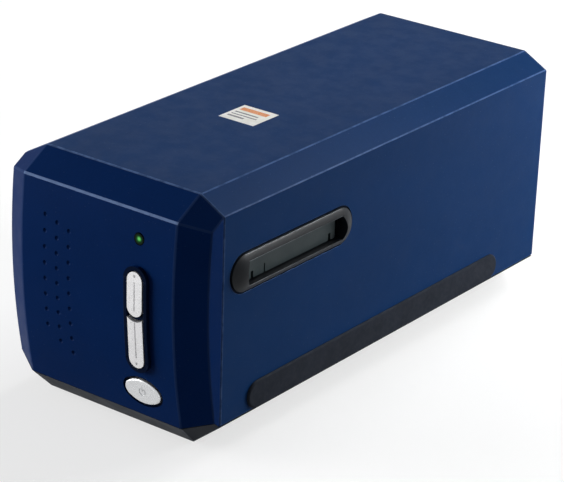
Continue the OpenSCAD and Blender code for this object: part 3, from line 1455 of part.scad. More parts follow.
module home_sensor() color("#17181a") difference() {
    box([flag_x - 5, rear_bracket_y - 8, home_z0], [flag_x + 5, rear_bracket_y, home_z0 + 10]);
    box([flag_x - 1.4, rear_bracket_y - 9, home_z0 - 1], [flag_x + 1.4, rear_bracket_y - 1.9, home_z0 + 11]);
    for (z = home_screw_z) rod_y([flag_x - 3.2, 0, z], m2_r + 0.1, far);
}

// ---------- fasteners ----------

module case_screws() color("#a9adb2") both_sides() {
    for (y = [case_front_y, case_back_y]) translate([case_x, y, case_head_z])
        screw(m3_r, m3_head_r, m3_head_h, case_screw_l);
    translate([bezel_screw_x, bezel_screw_y, bezel_head_z]) screw(m3_r, m3_head_r, m3_head_h, bezel_screw_l);
    for (z = rear_screw_z) translate([rear_screw_x, rear_y(z) + rear_seat, z]) rotate([90, 0, 0])
        screw(m2_r, m2_head_r, m2_head_h, 5);
}

// Small screw pointing down with its head's seat at p
module down_screw(p, l) translate(p) rotate([180, 0, 0]) screw(m2_r, m2_head_r, m2_head_h, l);

module frame_screws() color("#a9adb2") {
    both_sides() {
        for (p = stage_feet) down_screw([p[0], p[1], leg_foot_z + leg_foot_t], 7);
        for (y = bracket_screw_y) down_screw([bracket_screw_x, y, floor_z + 1 + bracket_t], 4);
    }
    for (p = guide_screws) translate([p[0], p[1], stage_top - stage_t])
        screw(m2_r, m2_head_r, m2_head_h, stage_t + 6);
    for (p = plate_posts) down_screw([p[0], p[1], plate_z + plate_t], 8);
    for (p = motor_screws) down_screw([p[0], p[1], plate_z + plate_t + 1.2], 3);
    down_screw([idler_post_x, idler_post_y, idler_plate_z + 1.6], 6);
}

module board_screws() color("#a9adb2") {
    for (p = board_feet) down_screw([p[0], p[1], main_board_z + board_t], 5);
    for (p = board_posts) translate([p[0], button_board_y + board_t, p[1]]) rotate([90, 0, 0])
        screw(m2_r, m2_head_r, m2_head_h, 5);
    for (z = home_screw_z) translate([flag_x - 3.2, rear_bracket_y - 8, z]) rotate([-90, 0, 0])
        screw(m2_r, m2_head_r, m2_head_h, 8 + bracket_t);
}

module carriage_screws() color("#a9adb2") {
    for (p = lid_screws) down_screw([p[0], p[1], lid_top], 7);
    for (p = arm_screws) down_screw([p[0], p[1], lid_top + arm_t], arm_t + lid_t);
    for (p = lamp_screws) down_screw([p[0], p[1], beam_z + arm_t], arm_t + lamp_wall);
    for (p = strap_screws) down_screw([p[0], p[1], cradle_z + strap_t], 6);
    down_screw([flag_x, flag_screw_y, lid_top + 1.2], 3.2);
    for (p = clamp_screws) translate([chamber_half_w + 2.5, p[0], p[1]]) rotate([0, -90, 0])
        screw(m2_r, m2_head_r, m2_head_h, 4.5);
    for (p = sensor_screws) translate([p[0], sensor_y + board_t, p[1]]) rotate([90, 0, 0])
        screw(m2_r, m2_head_r, m2_head_h, board_t + chamber_wall);
}

top_cover();
front_bezel();
base_tray();
rear_panel();
right_slot_trim();
left_slot_trim();
right_dust_flap();
left_dust_flap();
flap_hinge_pins();
right_flap_spring();
left_flap_spring();
right_side_strip();
left_side_strip();
rubber_feet();
top_sticker();
status_light_pipe();
upper_scan_button();
lower_scan_button();
power_button();
button_board();
tact_switches();
film_stage();
upper_guide();
detent_lever();
detent_spring();
optical_chamber();
chamber_lid();
fold_mirror();
lens_barrel();
lens_clamp();
sensor_board();
line_sensor();
sensor_ribbon();
lamp_arm();
lamp_housing();
led_strip();
lamp_diffuser();
belt_clamp();
rod_bushes();
home_flag();
left_guide_rod();
right_guide_rod();
front_rod_bracket();
rear_rod_bracket();
stepper_motor();
motor_pinion();
reduction_gear();
gear_axle();
timing_belt();
idler_pulley();
idler_bracket();
motor_bracket();
main_board();
usb_socket();
dc_jack();
home_sensor();
case_screws();
frame_screws();
board_screws();
carriage_screws();
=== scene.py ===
import math
import bmesh
import bpy
import numpy as np
from mathutils import Matrix, Vector
from mathutils.bvhtree import BVHTree


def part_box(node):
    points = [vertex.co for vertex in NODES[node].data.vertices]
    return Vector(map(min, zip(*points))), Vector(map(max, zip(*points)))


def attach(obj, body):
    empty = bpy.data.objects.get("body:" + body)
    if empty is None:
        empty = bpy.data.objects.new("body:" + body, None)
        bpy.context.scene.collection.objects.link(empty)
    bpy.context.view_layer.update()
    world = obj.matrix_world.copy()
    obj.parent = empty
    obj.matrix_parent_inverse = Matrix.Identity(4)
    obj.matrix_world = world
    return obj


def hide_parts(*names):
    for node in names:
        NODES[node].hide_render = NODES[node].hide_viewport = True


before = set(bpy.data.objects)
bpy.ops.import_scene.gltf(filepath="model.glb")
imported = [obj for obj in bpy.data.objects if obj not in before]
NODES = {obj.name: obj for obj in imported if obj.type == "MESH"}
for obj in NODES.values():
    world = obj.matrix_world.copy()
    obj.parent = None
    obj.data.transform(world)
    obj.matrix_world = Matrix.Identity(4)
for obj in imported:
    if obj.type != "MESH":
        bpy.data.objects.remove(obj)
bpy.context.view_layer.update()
MM = 0.001  # metres in a millimetre; sizes are in millimetres where nothing else is said


# ---------- colours ----------

def lin(r, g, b):
    """Linear colour of an 8-bit sRGB one."""
    out = []
    for c in (r, g, b):
        c = c / 255
        out.append(c / 12.92 if c <= 0.04045 else ((c + 0.055) / 1.055) ** 2.4)
    return (*out, 1.0)


def scaled(color, k):
    """The colour k times as bright."""
    return tuple(min(1.0, c * k) for c in color[:3]) + (1.0,)


# ---------- material tools ----------

class Graph:
    """Short hand for the nodes of a material or the sky."""

    def __init__(self, nt):
        self.nt = nt

    def node(self, kind, **props):
        n = self.nt.nodes.new(kind)
        for k, v in props.items():
            setattr(n, k, v)
        return n

    def put(self, socket, value):
        if isinstance(value, bpy.types.NodeSocket):
            self.nt.links.new(value, socket)
        else:
            socket.default_value = value

    def math(self, op, a, b=0.0):
        n = self.node("ShaderNodeMath", operation=op)
        self.put(n.inputs[0], a)
        self.put(n.inputs[1], b)
        return n.outputs[0]

    def seen(self):
        """1 for what the camera sees, reflections and see-through things too, and 0 for what gives light."""
        path = self.node("ShaderNodeLightPath")
        either = self.math("MAXIMUM", path.outputs["Is Camera Ray"], path.outputs["Is Glossy Ray"])
        return self.math("MAXIMUM", either, path.outputs["Is Transmission Ray"])


class Tree(Graph):
    """Short hand for one material's nodes."""

    def __init__(self, name):
        self.mat = bpy.data.materials.new(name)
        self.mat.use_nodes = True
        super().__init__(self.mat.node_tree)
        self.nt.nodes.clear()
        self.bsdf = self.node("ShaderNodeBsdfPrincipled")
        self.out = self.node("ShaderNodeOutputMaterial")
        self.put(self.out.inputs[0], self.bsdf.outputs[0])
        self.coord = self.node("ShaderNodeTexCoord").outputs["Object"]

    def set(self, name, value):
        """Value or link for an input of the shader."""
        self.put(self.bsdf.inputs[name], value)

    def times(self, a, b):
        return self.math("MULTIPLY", a, b)

    def between(self, value, low, high):
        """1 where value lies between low and high, else 0."""
        return self.times(self.math("GREATER_THAN", value, low), self.math("LESS_THAN", value, high))

    def ramp(self, value, low, high, a=0.0, b=1.0):
        """Smooth step from a to b while value goes from low to high."""
        n = self.node("ShaderNodeMapRange", interpolation_type="SMOOTHSTEP")
        for i, v in enumerate((value, low, high, a, b)):
            self.put(n.inputs[i], v)
        return n.outputs[0]

    def noise(self, size, detail=3.0, rough=0.5, stretch=(1, 1, 1), seed=0.0):
        """Noise whose features are about size across."""
        m = self.node("ShaderNodeMapping")
        self.put(m.inputs["Vector"], self.coord)
        m.inputs["Scale"].default_value = stretch
        m.inputs["Location"].default_value = (seed, seed * 0.7, seed * 1.3)
        n = self.node("ShaderNodeTexNoise")
        self.put(n.inputs["Vector"], m.outputs[0])
        n.inputs["Scale"].default_value = 1 / (size * MM)
        n.inputs["Detail"].default_value = detail
        n.inputs["Roughness"].default_value = rough
        return n.outputs["Fac"]

    def cells(self, size, seed=0.0):
        """Distance from the middle of the nearest of cells that are about size across."""
        m = self.node("ShaderNodeMapping")
        self.put(m.inputs["Vector"], self.coord)
        m.inputs["Location"].default_value = (seed, seed, seed)
        n = self.node("ShaderNodeTexVoronoi")
        self.put(n.inputs["Vector"], m.outputs[0])
        n.inputs["Scale"].default_value = 1 / (size * MM)
        return n.outputs["Distance"]

    def mix(self, fac, a, b):
        n = self.node("ShaderNodeMix", data_type="RGBA")
        self.put(n.inputs[0], fac)
        self.put(n.inputs[6], a)
        self.put(n.inputs[7], b)
        return n.outputs[2]

    def bump(self, height, depth, strength):
        n = self.node("ShaderNodeBump")
        n.inputs["Strength"].default_value = strength
        n.inputs["Distance"].default_value = depth * MM
        self.put(n.inputs["Height"], height)
        return n.outputs[0]

    def attribute(self, name):
        return self.node("ShaderNodeAttribute", attribute_name=name).outputs["Fac"]

    def axis(self, i):
        n = self.node("ShaderNodeSeparateXYZ")
        self.put(n.inputs[0], self.coord)
        return n.outputs[i]

    def off(self, i, at):
        """Distance along axis i from at, with its sign."""
        return self.math("SUBTRACT", self.axis(i), at * MM)


# ---------- materials ----------

SHADE = (0.0, 0.001, 0.003, 1)  # painted shade: what pockets and holes darken to,
SHADE_SHARE = 0.8  # and how far
DUST = lin(150, 156, 168)


def moulded(name, color, rough, spec, grain=0.45, depth=0.02, vary=0.1, edge=None, dust=0.0, least_edge_share=0.35):
    """Moulded plastic: spark-eroded grain, faint flow marks, pale edges that are scuffing on most mouldings
    and a painted highlight on the blue ones, never below the least share given, and painted shade in
    recesses.
    """
    t = Tree(name)
    flow = t.noise(34, 3, 0.55, (1, 0.5, 1))
    fleck = t.noise(1.1, 2, 0.6, seed=4.0)
    base = t.mix(t.ramp(flow, 0.3, 0.7), scaled(color, 1 - vary), scaled(color, 1 + vary))
    base = t.mix(t.ramp(fleck, 0.35, 0.75, 0, 0.3), base, scaled(color, 1.25))
    if edge is not None:
        # pale edges: scuffing on most mouldings, a painted highlight on the blue ones
        patches = t.ramp(t.noise(5, 4, 0.6, seed=2.0), 0.3, 0.62, least_edge_share, 1.0)
        base = t.mix(t.times(t.attribute("edge_wear_and_highlight"), patches), base, edge)
    # painted shade on faces behind the outer skin: pockets, holes and gaps
    base = t.mix(t.times(t.attribute("recess"), SHADE_SHARE), base, SHADE)
    if dust:
        base = t.mix(t.ramp(t.cells(3.1, seed=1.3), 0.05, 0.09, dust, 0.0), base, DUST)
    t.set("Base Color", base)
    t.set("Roughness", t.ramp(t.noise(9, 4, 0.6, seed=7.0), 0.25, 0.75, rough - 0.05, rough + 0.06))
    t.set("Specular IOR Level", spec)
    t.set("Normal", t.bump(t.noise(grain, 3, 0.65, seed=9.0), depth, 0.6))
    return t.mat


def metal(name, color, rough, brush, size=0.3, depth=0.006, vary=0.12):
    """Metal with drawn, ground or plated marks; brush stretches them."""
    t = Tree(name)
    marks = t.noise(size, 4, 0.6, brush)
    cloud = t.noise(7, 3, 0.5, seed=3.0)
    t.set("Base Color", t.mix(t.ramp(cloud, 0.3, 0.7), scaled(color, 1 - vary), scaled(color, 1 + vary)))
    t.set("Metallic", 1.0)
    t.set("Roughness", t.ramp(marks, 0.2, 0.8, rough - 0.08, rough + 0.1))
    t.set("Normal", t.bump(marks, depth, 0.5))
    return t.mat


def rubber(name, color):
    """Dull rubber with pebbles, chalky where it is scuffed."""
    t = Tree(name)
    base = t.mix(t.ramp(t.noise(12, 4, 0.6), 0.3, 0.7), scaled(color, 0.86), scaled(color, 1.14))
    patches = t.ramp(t.noise(3, 4, 0.6, seed=5.0), 0.4, 0.7, 0.1, 0.7)
    base = t.mix(t.times(t.attribute("edge_wear_and_highlight"), patches), base, scaled(color, 1.7))
    t.set("Base Color", base)
    t.set("Roughness", t.ramp(t.noise(2, 2, 0.5, seed=1.0), 0.3, 0.7, 0.64, 0.8))
    t.set("Specular IOR Level", 0.08)
    t.set("Normal", t.bump(t.cells(0.7), 0.03, 0.6))
    return t.mat


def board(name):
    """Solder mask with traces and pads under it."""
    t = Tree(name)
    bricks = t.node("ShaderNodeTexBrick", offset=0.5)
    t.put(bricks.inputs["Vector"], t.coord)
    bricks.inputs["Scale"].default_value = 260
    bricks.inputs["Mortar Size"].default_value = 0.04
    traces = bricks.outputs["Fac"]
    base = t.mix(t.times(traces, 0.55), lin(24, 84, 52), lin(58, 128, 84))
    base = t.mix(t.ramp(t.cells(2.6, seed=0.7), 0.10, 0.13, 0.8, 0.0), base, lin(196, 170, 96))
    base = t.mix(t.ramp(t.noise(15), 0.3, 0.7, 0, 0.3), base, lin(14, 60, 36))
    t.set("Base Color", base)
    t.set("Roughness", t.ramp(t.noise(4), 0.3, 0.7, 0.3, 0.42))
    t.set("Normal", t.bump(traces, 0.02, 0.5))
    return t.mat


# Bars on the sticker: u0, u1, v0, v1 as shares of its half width and half length
ORANGE_BAR = (-0.82, 0.72, 0.34, 0.72)
GREY_BARS = ((-0.82, 0.5, -0.02, 0.1), (-0.82, 0.62, -0.3, -0.2), (-0.82, 0.1, -0.62, -0.46))


def label(name, centre, half):
    """Sticker with generic bars, printed across its own face."""
    t = Tree(name)
    u = t.math("DIVIDE", t.off(0, centre[0]), half[0] * MM)
    v = t.math("DIVIDE", t.off(1, centre[1]), half[1] * MM)
    ink = t.ramp(t.noise(0.8, 2, 0.5, seed=2.0), 0.3, 0.55, 0.7, 1.0)

    def printed(base, bar, color):
        u0, u1, v0, v1 = bar
        return t.mix(t.times(t.times(t.between(u, u0, u1), t.between(v, v0, v1)), ink), base, color)

    base = t.mix(t.ramp(t.noise(6, 4, 0.6), 0.3, 0.7), lin(236, 234, 226), lin(250, 249, 245))
    base = printed(base, ORANGE_BAR, lin(226, 138, 66))
    for bar in GREY_BARS:
        base = printed(base, bar, lin(120, 116, 122))
    t.set("Base Color", base)
    t.set("Roughness", t.ramp(t.noise(3, seed=6.0), 0.3, 0.7, 0.42, 0.55))
    t.set("Normal", t.bump(t.noise(0.3, 3, 0.6, seed=8.0), 0.01, 0.4))
    return t.mat


def silver(name, color, rough, marks):
    """Silver-lacquered plastic with fine flake and rims lightened as a painted highlight; marks are masks
    of painted shade in what is cut into its face.
    """
    t = Tree(name)
    flake = t.noise(0.5, 2, 0.5)
    base = t.mix(t.ramp(flake, 0.3, 0.7), scaled(color, 0.94), scaled(color, 1.04))
    base = t.mix(t.ramp(t.noise(5, 4, 0.6), 0.35, 0.7, 0.0, 0.3), base, scaled(color, 0.92))
    # painted highlight: the rounded rims lighter
    base = t.mix(t.times(t.attribute("edge_wear_and_highlight"), 0.5), base, scaled(color, 1.2))
    sunk = marks[0](t)
    for make in marks[1:]:
        sunk = t.math("MAXIMUM", sunk, make(t))
    # painted shade darkens what is cut into the face
    t.set("Base Color", t.mix(t.times(sunk, 0.4), base, scaled(color, 0.2)))
    t.set("Metallic", 0.6)
    t.set("Roughness", t.ramp(t.noise(2, 3, 0.6, seed=3.0), 0.3, 0.7, rough - 0.05, rough + 0.06))
    t.set("Normal", t.bump(flake, 0.002, 0.3))
    return t.mat


def soft_line(t, distance, half_w):
    """1 on a line and 0 beside it, for a distance from its middle."""
    return t.ramp(t.math("ABSOLUTE", distance), half_w * 0.5 * MM, half_w * 1.4 * MM, 1.0, 0.0)


def distance_to(t, x, z):
    """Distance on the front from (x, z)."""
    dx, dz = t.off(0, x), t.off(2, z)
    return t.math("SQRT", t.math("ADD", t.times(dx, dx), t.times(dz, dz)))


def groove_mask(x, z0, z1):
    """Mask of an upright groove on the front."""
    half_w, fade = 0.4, 0.4

    def make(t):
        half = (z1 - z0) / 2
        from_middle = t.math("ABSOLUTE", t.off(2, (z0 + z1) / 2))
        along = t.ramp(from_middle, (half - fade) * MM, half * MM, 1.0, 0.0)
        return t.times(t.times(soft_line(t, t.off(0, x), half_w), along), 0.8)
    return make


def dot_mask(x, z):
    """Mask of a round dot on the front."""
    r = 0.75
    return lambda t: t.ramp(distance_to(t, x, z), r * 0.6 * MM, r * 1.3 * MM, 1.0, 0.0)


def power_mask(x, z, r):
    """Mask of the general sign for power: an open ring with a bar in its gap."""
    half_w = 0.34

    def make(t):
        round_it = t.math("SUBTRACT", distance_to(t, x, z), r * MM)
        side = t.math("ABSOLUTE", t.off(0, x))
        rise = t.off(2, z)
        gap = t.times(t.math("LESS_THAN", side, 0.45 * r * MM), t.math("GREATER_THAN", rise, 0.0))
        ring = t.times(soft_line(t, round_it, half_w), t.math("SUBTRACT", 1.0, gap))
        bar_height = t.between(rise, SIGN_BAR[0] * r * MM, SIGN_BAR[1] * r * MM)
        bar = t.times(soft_line(t, side, half_w), bar_height)
        return t.times(t.math("MAXIMUM", ring, bar), 0.6)
    return make


def lens_green(name, x, z, r):
    """Green light pipe, darker towards its rim, with a glowing spot off its middle that is a painted
    highlight.
    """
    t = Tree(name)
    glass = t.mix(t.ramp(t.noise(1.6, 3, 0.5), 0.3, 0.7), lin(10, 62, 24), lin(22, 92, 36))
    rim = t.ramp(distance_to(t, x, z), 0.5 * r * MM, 0.85 * r * MM)
    # painted highlight: a glowing spot a little off the middle
    off = 0.05 * r
    painted_glint = t.ramp(distance_to(t, x + off, z + off), 0.05 * r * MM, 0.56 * r * MM, 1.0, 0.0)
    t.set("Base Color", t.mix(rim, glass, lin(0, 22, 10)))
    t.set("Specular IOR Level", 0.06)
    t.set("Roughness", t.ramp(t.noise(0.9, seed=2.0), 0.3, 0.7, 0.12, 0.22))
    t.set("Emission Color", lin(110, 220, 110))
    t.set("Emission Strength", t.times(painted_glint, 0.75))
    t.set("Normal", t.bump(t.noise(0.5, seed=5.0), 0.01, 0.4))
    return t.mat


def mirror_glass(name):
    """Silvered glass with faint smears."""
    t = Tree(name)
    cloud = t.ramp(t.noise(18, 3, 0.5), 0.3, 0.7)
    t.set("Base Color", t.mix(cloud, (0.86, 0.9, 0.91, 1), (0.93, 0.95, 0.95, 1)))
    t.set("Metallic", 1.0)
    t.set("Roughness", t.ramp(t.noise(8, 4, 0.6, seed=4.0), 0.45, 0.75, 0.02, 0.07))
    return t.mat


def middle(node):
    """Middle of a node's box and half its size, in millimetres."""
    lo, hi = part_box(node)
    return [(a + b) / 2 / MM for a, b in zip(lo, hi)], [(b - a) / 2 / MM for a, b in zip(lo, hi)]


upper_at, upper_half = middle("upper_scan_button")
lower_at, lower_half = middle("lower_scan_button")
power_at, _ = middle("power_button")
light_at, light_half = middle("status_light_pipe")
sticker_at, sticker_half = middle("top_sticker")

# What is cut into the buttons' fronts: (x, z) of the dots, (x, low z, high z) of the grooves
DOT_INSET = 2.9  # from a button's end to its dot
DOT_GAP = 2.6  # from the dot to the groove
GROOVE_INSET = 3.2  # from the groove to the button's other end
UPPER_DOT = (upper_at[0], upper_at[2] + upper_half[2] - DOT_INSET)
LOWER_DOT = (lower_at[0], lower_at[2] - lower_half[2] + DOT_INSET)
UPPER_GROOVE = (upper_at[0], upper_at[2] - upper_half[2] + GROOVE_INSET, UPPER_DOT[1] - DOT_GAP)
LOWER_GROOVE = (lower_at[0], LOWER_DOT[1] + DOT_GAP, lower_at[2] + lower_half[2] - GROOVE_INSET)
SIGN_X, SIGN_Z = power_at[0], power_at[2]
SIGN_R = 1.7  # radius of the power sign's ring
SIGN_BAR = (0.2, 1.4)  # foot and head of its bar, as shares of SIGN_R
SIGN_HALF_W = 0.26  # half the width of its lines
GROOVE_DEPTH, DOT_DEPTH, SIGN_DEPTH = 0.25, 0.3, 0.2

COVER_BLUE = (0.003, 0.027, 0.1, 1)
BEZEL_BLUE = (0.0008, 0.0185, 0.096, 1)
ANY_WAY = (1, 1, 1)
MATS = {
    # the pale edge colours of the two blue mouldings are painted highlights
    "cover_blue": moulded("cover_blue", COVER_BLUE, 0.48, 0.045, vary=0.05, edge=lin(90, 116, 164),
                          dust=0.1),
    "bezel_blue": moulded("bezel_blue", BEZEL_BLUE, 0.46, 0.026, vary=0.05, edge=lin(114, 138, 184),
                          dust=0.08, least_edge_share=0.8),
    "base_grey": moulded("base_grey", lin(33, 38, 47), 0.55, 0.06, grain=0.6, depth=0.03,
                         edge=lin(104, 110, 120)),
    "panel_black": moulded("panel_black", lin(32, 35, 40), 0.55, 0.25, grain=0.6, depth=0.03,
                           edge=lin(84, 88, 94)),
    "trim_grey": moulded("trim_grey", lin(24, 27, 31), 0.46, 0.18, edge=lin(96, 102, 108)),
    "flap_grey": moulded("flap_grey", lin(31, 43, 46), 0.5, 0.27, edge=lin(96, 104, 106)),
    "strip_rubber": rubber("strip_rubber", lin(38, 42, 50)),
    "foot_rubber": rubber("foot_rubber", lin(34, 34, 37)),
    "button_silver": silver("button_silver", lin(250, 249, 250), 0.3, (
        groove_mask(*UPPER_GROOVE), groove_mask(*LOWER_GROOVE),
        dot_mask(*UPPER_DOT), dot_mask(*LOWER_DOT))),
    "power_grey": silver("power_grey", lin(242, 243, 244), 0.28, (power_mask(SIGN_X, SIGN_Z, SIGN_R),)),
    "light_pipe": lens_green("light_pipe", light_at[0], light_at[2], light_half[0]),
    "board_green": board("board_green"),
    "inner_black": moulded("inner_black", lin(34, 36, 40), 0.6, 0.25),
    "spring_steel": metal("spring_steel", (0.55, 0.56, 0.58, 1), 0.28, (6, 1, 6)),
    "rod_steel": metal("rod_steel", (0.66, 0.67, 0.69, 1), 0.16, (1, 8, 1), size=0.25, depth=0.003),
    "sheet_steel": metal("sheet_steel", (0.5, 0.52, 0.54, 1), 0.36, ANY_WAY, size=2.2, depth=0.01,
                         vary=0.2),
    "screw_steel": metal("screw_steel", (0.5, 0.52, 0.55, 1), 0.3, ANY_WAY, size=0.5),
    "mirror_glass": mirror_glass("mirror_glass"),
    "barrel_black": metal("barrel_black", (0.03, 0.03, 0.034, 1), 0.34, (1, 9, 1)),
    "lamp_white": moulded("lamp_white", lin(222, 221, 216), 0.5, 0.3),
    "diffuser": moulded("diffuser", lin(240, 243, 243), 0.6, 0.3, grain=0.3, vary=0.02),
    "bronze": metal("bronze", (0.5, 0.33, 0.14, 1), 0.42, ANY_WAY, size=0.35, depth=0.02),
    "belt_rubber": rubber("belt_rubber", lin(26, 26, 28)),
    "gear_ivory": moulded("gear_ivory", lin(228, 222, 203), 0.42, 0.35),
    "pinion_brass": metal("pinion_brass", (0.62, 0.42, 0.12, 1), 0.26, (1, 1, 6)),
    "ribbon_film": moulded("ribbon_film", lin(214, 206, 184), 0.35, 0.4),
    "lever_acetal": moulded("lever_acetal", lin(202, 194, 172), 0.4, 0.35),
    "label_stock": label("label_stock", sticker_at, sticker_half),
}

SLOT_OF = {}
for slot, names in {
    "cover_blue": "top_cover",
    "bezel_blue": "front_bezel",
    "base_grey": "base_tray",
    "panel_black": "rear_panel dc_jack home_sensor tact_switches line_sensor",
    "trim_grey": "right_slot_trim left_slot_trim",
    "flap_grey": "right_dust_flap left_dust_flap",
    "strip_rubber": "right_side_strip left_side_strip",
    "foot_rubber": "rubber_feet",
    "label_stock": "top_sticker",
    "light_pipe": "status_light_pipe",
    "button_silver": "upper_scan_button lower_scan_button",
    "power_grey": "power_button",
    "board_green": "button_board sensor_board main_board",
    "inner_black": "film_stage upper_guide optical_chamber chamber_lid lamp_arm belt_clamp home_flag",
    "spring_steel": "right_flap_spring left_flap_spring detent_spring flap_hinge_pins gear_axle",
    "rod_steel": "left_guide_rod right_guide_rod stepper_motor",
    "sheet_steel": "front_rod_bracket rear_rod_bracket motor_bracket idler_bracket lens_clamp usb_socket",
    "screw_steel": "case_screws frame_screws board_screws carriage_screws",
    "mirror_glass": "fold_mirror",
    "barrel_black": "lens_barrel",
    "lamp_white": "lamp_housing led_strip",
    "diffuser": "lamp_diffuser",
    "bronze": "rod_bushes",
    "belt_rubber": "timing_belt",
    "gear_ivory": "reduction_gear idler_pulley",
    "pinion_brass": "motor_pinion",
    "ribbon_film": "sensor_ribbon",
    "lever_acetal": "detent_lever",
}.items():
    for n in names.split():
        SLOT_OF[n] = slot

for name, ob in NODES.items():
    ob.data.materials.clear()
    ob.data.materials.append(MATS[SLOT_OF[name]])


# ---------- new objects ----------

def linked(name, data):
    """A new object of the scene with its mesh, lamp or camera."""
    ob = bpy.data.objects.new(name, data)
    bpy.context.scene.collection.objects.link(ob)
    return ob


def mesh_of(name, bm):
    """A mesh with what bm holds, which is freed."""
    me = bpy.data.meshes.new(name)
    bm.to_mesh(me)
    bm.free()
    return me


# ---------- marks cut into the buttons ----------

def line_rows(x, z0, z1, half_w=0.3, steps=14):
    """Pairs of points along an upright groove with blunt ends."""
    rows = []
    for i in range(steps + 1):
        z = z0 + (z1 - z0) * i / steps
        w = half_w if 0 < i < steps else half_w * 0.5
        rows.append(((x - w, z), (x + w, z)))
    return rows


def dot_rows(x, z, r=0.6, steps=10):
    """Pairs of points across a round dot, from its foot up."""
    rows = []
    for i in range(steps + 1):
        a = math.pi * (i + 0.5) / (steps + 1)
        w, level = r * math.sin(a), z - r * math.cos(a)
        rows.append(((x - w, level), (x + w, level)))
    return rows


def ring_rows(x, z, r, half_w, gap=28, steps=28):
    """Pairs of points round an open ring, with gap degrees open to each side of its top."""
    rows = []
    for i in range(steps + 1):
        a = math.radians(90 + gap + (360 - 2 * gap) * i / steps)
        rows.append(tuple((x + k * math.cos(a), z + k * math.sin(a)) for k in (r - half_w, r + half_w)))
    return rows


IN_FRONT = -200  # y of a plane before the whole part
CUTTER_PROUD = 0.6  # how far a cutter stands out of the face that it cuts


def cutter(rows, depth, skin):
    """Closed strip between the pairs of points, sunk depth millimetres into the skin's front."""
    bm = bmesh.new()
    made = []
    for pair in rows:
        row = []
        for x, z in pair:
            hit = skin.ray_cast(Vector((x * MM, IN_FRONT * MM, z * MM)), Vector((0, 1, 0)))[0]
            row.append(bm.verts.new((x * MM, hit.y - CUTTER_PROUD * MM, z * MM)))
            row.append(bm.verts.new((x * MM, hit.y + depth * MM, z * MM)))
        made.append(row)
    for r, q in zip(made, made[1:]):
        for i, j in ((0, 2), (2, 3), (3, 1), (1, 0)):
            bm.faces.new((r[i], r[j], q[j], q[i]))
    for r in (made[0], made[-1]):
        bm.faces.new((r[0], r[1], r[3], r[2]))
    bmesh.ops.recalc_face_normals(bm, faces=bm.faces)
    return linked("cutter", mesh_of("cutter", bm))


# ---------- pieces that stand for outer mouldings ----------

WELD = 0.012  # points nearer to each other become one
DEGENERATE = 0.004  # edges and faces smaller than this go
NEAR_OUTER = 0.3  # how far a face may lie behind an outer one and not count as a recess
SLIVER = 0.05  # width of a face below which its edges aren't rounded
SHARP = 28  # degrees above which an edge shows as a line


def cleaned(node, merge):
    """The node's mesh with shared points, and as one face those less than merge degrees apart."""
    bm = bmesh.new()
    bm.from_mesh(NODES[node].data)
    bmesh.ops.remove_doubles(bm, verts=bm.verts, dist=WELD * MM)
    bmesh.ops.dissolve_degenerate(bm, edges=bm.edges, dist=DEGENERATE * MM)
    bmesh.ops.dissolve_limit(bm, angle_limit=math.radians(merge), verts=bm.verts, edges=bm.edges)
    bmesh.ops.recalc_face_normals(bm, faces=bm.faces)
    bm.normal_update()
    return bm


def hull_faces(bm, skip, eps=0.04):
    """Faces that no point of the mesh stands more than eps before; points with skip() true don't count."""
    pts = np.array([v.co for v in bm.verts if skip is None or not skip(v.co / MM)], float)
    out = set()
    for f in bm.faces:
        n = np.array(f.normal)
        c = np.array(f.calc_center_median())
        if ((pts - c) @ n).max() < eps * MM:
            out.add(f)
    return out


def dressed(node, body, soft, rim, skip=None, sunk=None, edge_highlight=None, angle=4, short=3.0, rim_short=1.0,
            segments=3, flat=True, merge=0.15, cuts=()):
    """A copy of a moulding with its outer edges rounded, in place of the node.

    soft is the width between two outer faces and rim at the outline of an outer face, for edges of
    more than angle degrees that are longer than short and rim_short. sunk() tells how much painted shade a
    face gets, given its middle and whether it is an outer one, and the edge function how much of the pale
    edge colour an edge gets, a painted highlight where that function is given. flat keeps large faces flat
    to the eye, and cuts are strips to cut out, each with its depth."""
    bm = cleaned(node, merge)
    recess = bm.faces.layers.float.new("recess")
    layer = bm.edges.layers.float.new("bevel_weight_edge")
    outer = hull_faces(bm, skip)
    near_outer = hull_faces(bm, skip, NEAR_OUTER)
    for f in bm.faces:
        near = f in near_outer
        # how much painted shade each face gets
        f[recess] = sunk(f.calc_center_median() / MM, near) if sunk else float(not near)
    width = max(soft, rim)
    for e in bm.edges if width else ():
        if len(e.link_faces) != 2 or not e.is_convex:
            continue
        a, b = e.link_faces
        sliver = min(a.calc_area(), b.calc_area()) < SLIVER * MM * e.calc_length()
        if sliver or math.degrees(e.calc_face_angle(0)) < angle:
            continue
        outer_sides = (a in outer) + (b in outer)
        length = e.calc_length() / MM
        if outer_sides == 2 and length > short:
            e[layer] = soft / width
        elif outer_sides == 1 and length > rim_short:
            e[layer] = rim / width
    for f in bm.faces:
        f.smooth = True
    for e in bm.edges:
        e.smooth = not (len(e.link_faces) == 2 and math.degrees(e.calc_face_angle(0)) > SHARP)
    name = node + "_skin"
    ob = linked(name, mesh_of(name, bm))
    baked(ob, MATS[SLOT_OF[node]], width, segments, flat, cuts)
    mark_edge_wear_and_highlight(ob.data, edge_highlight)
    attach(ob, body)
    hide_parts(node)


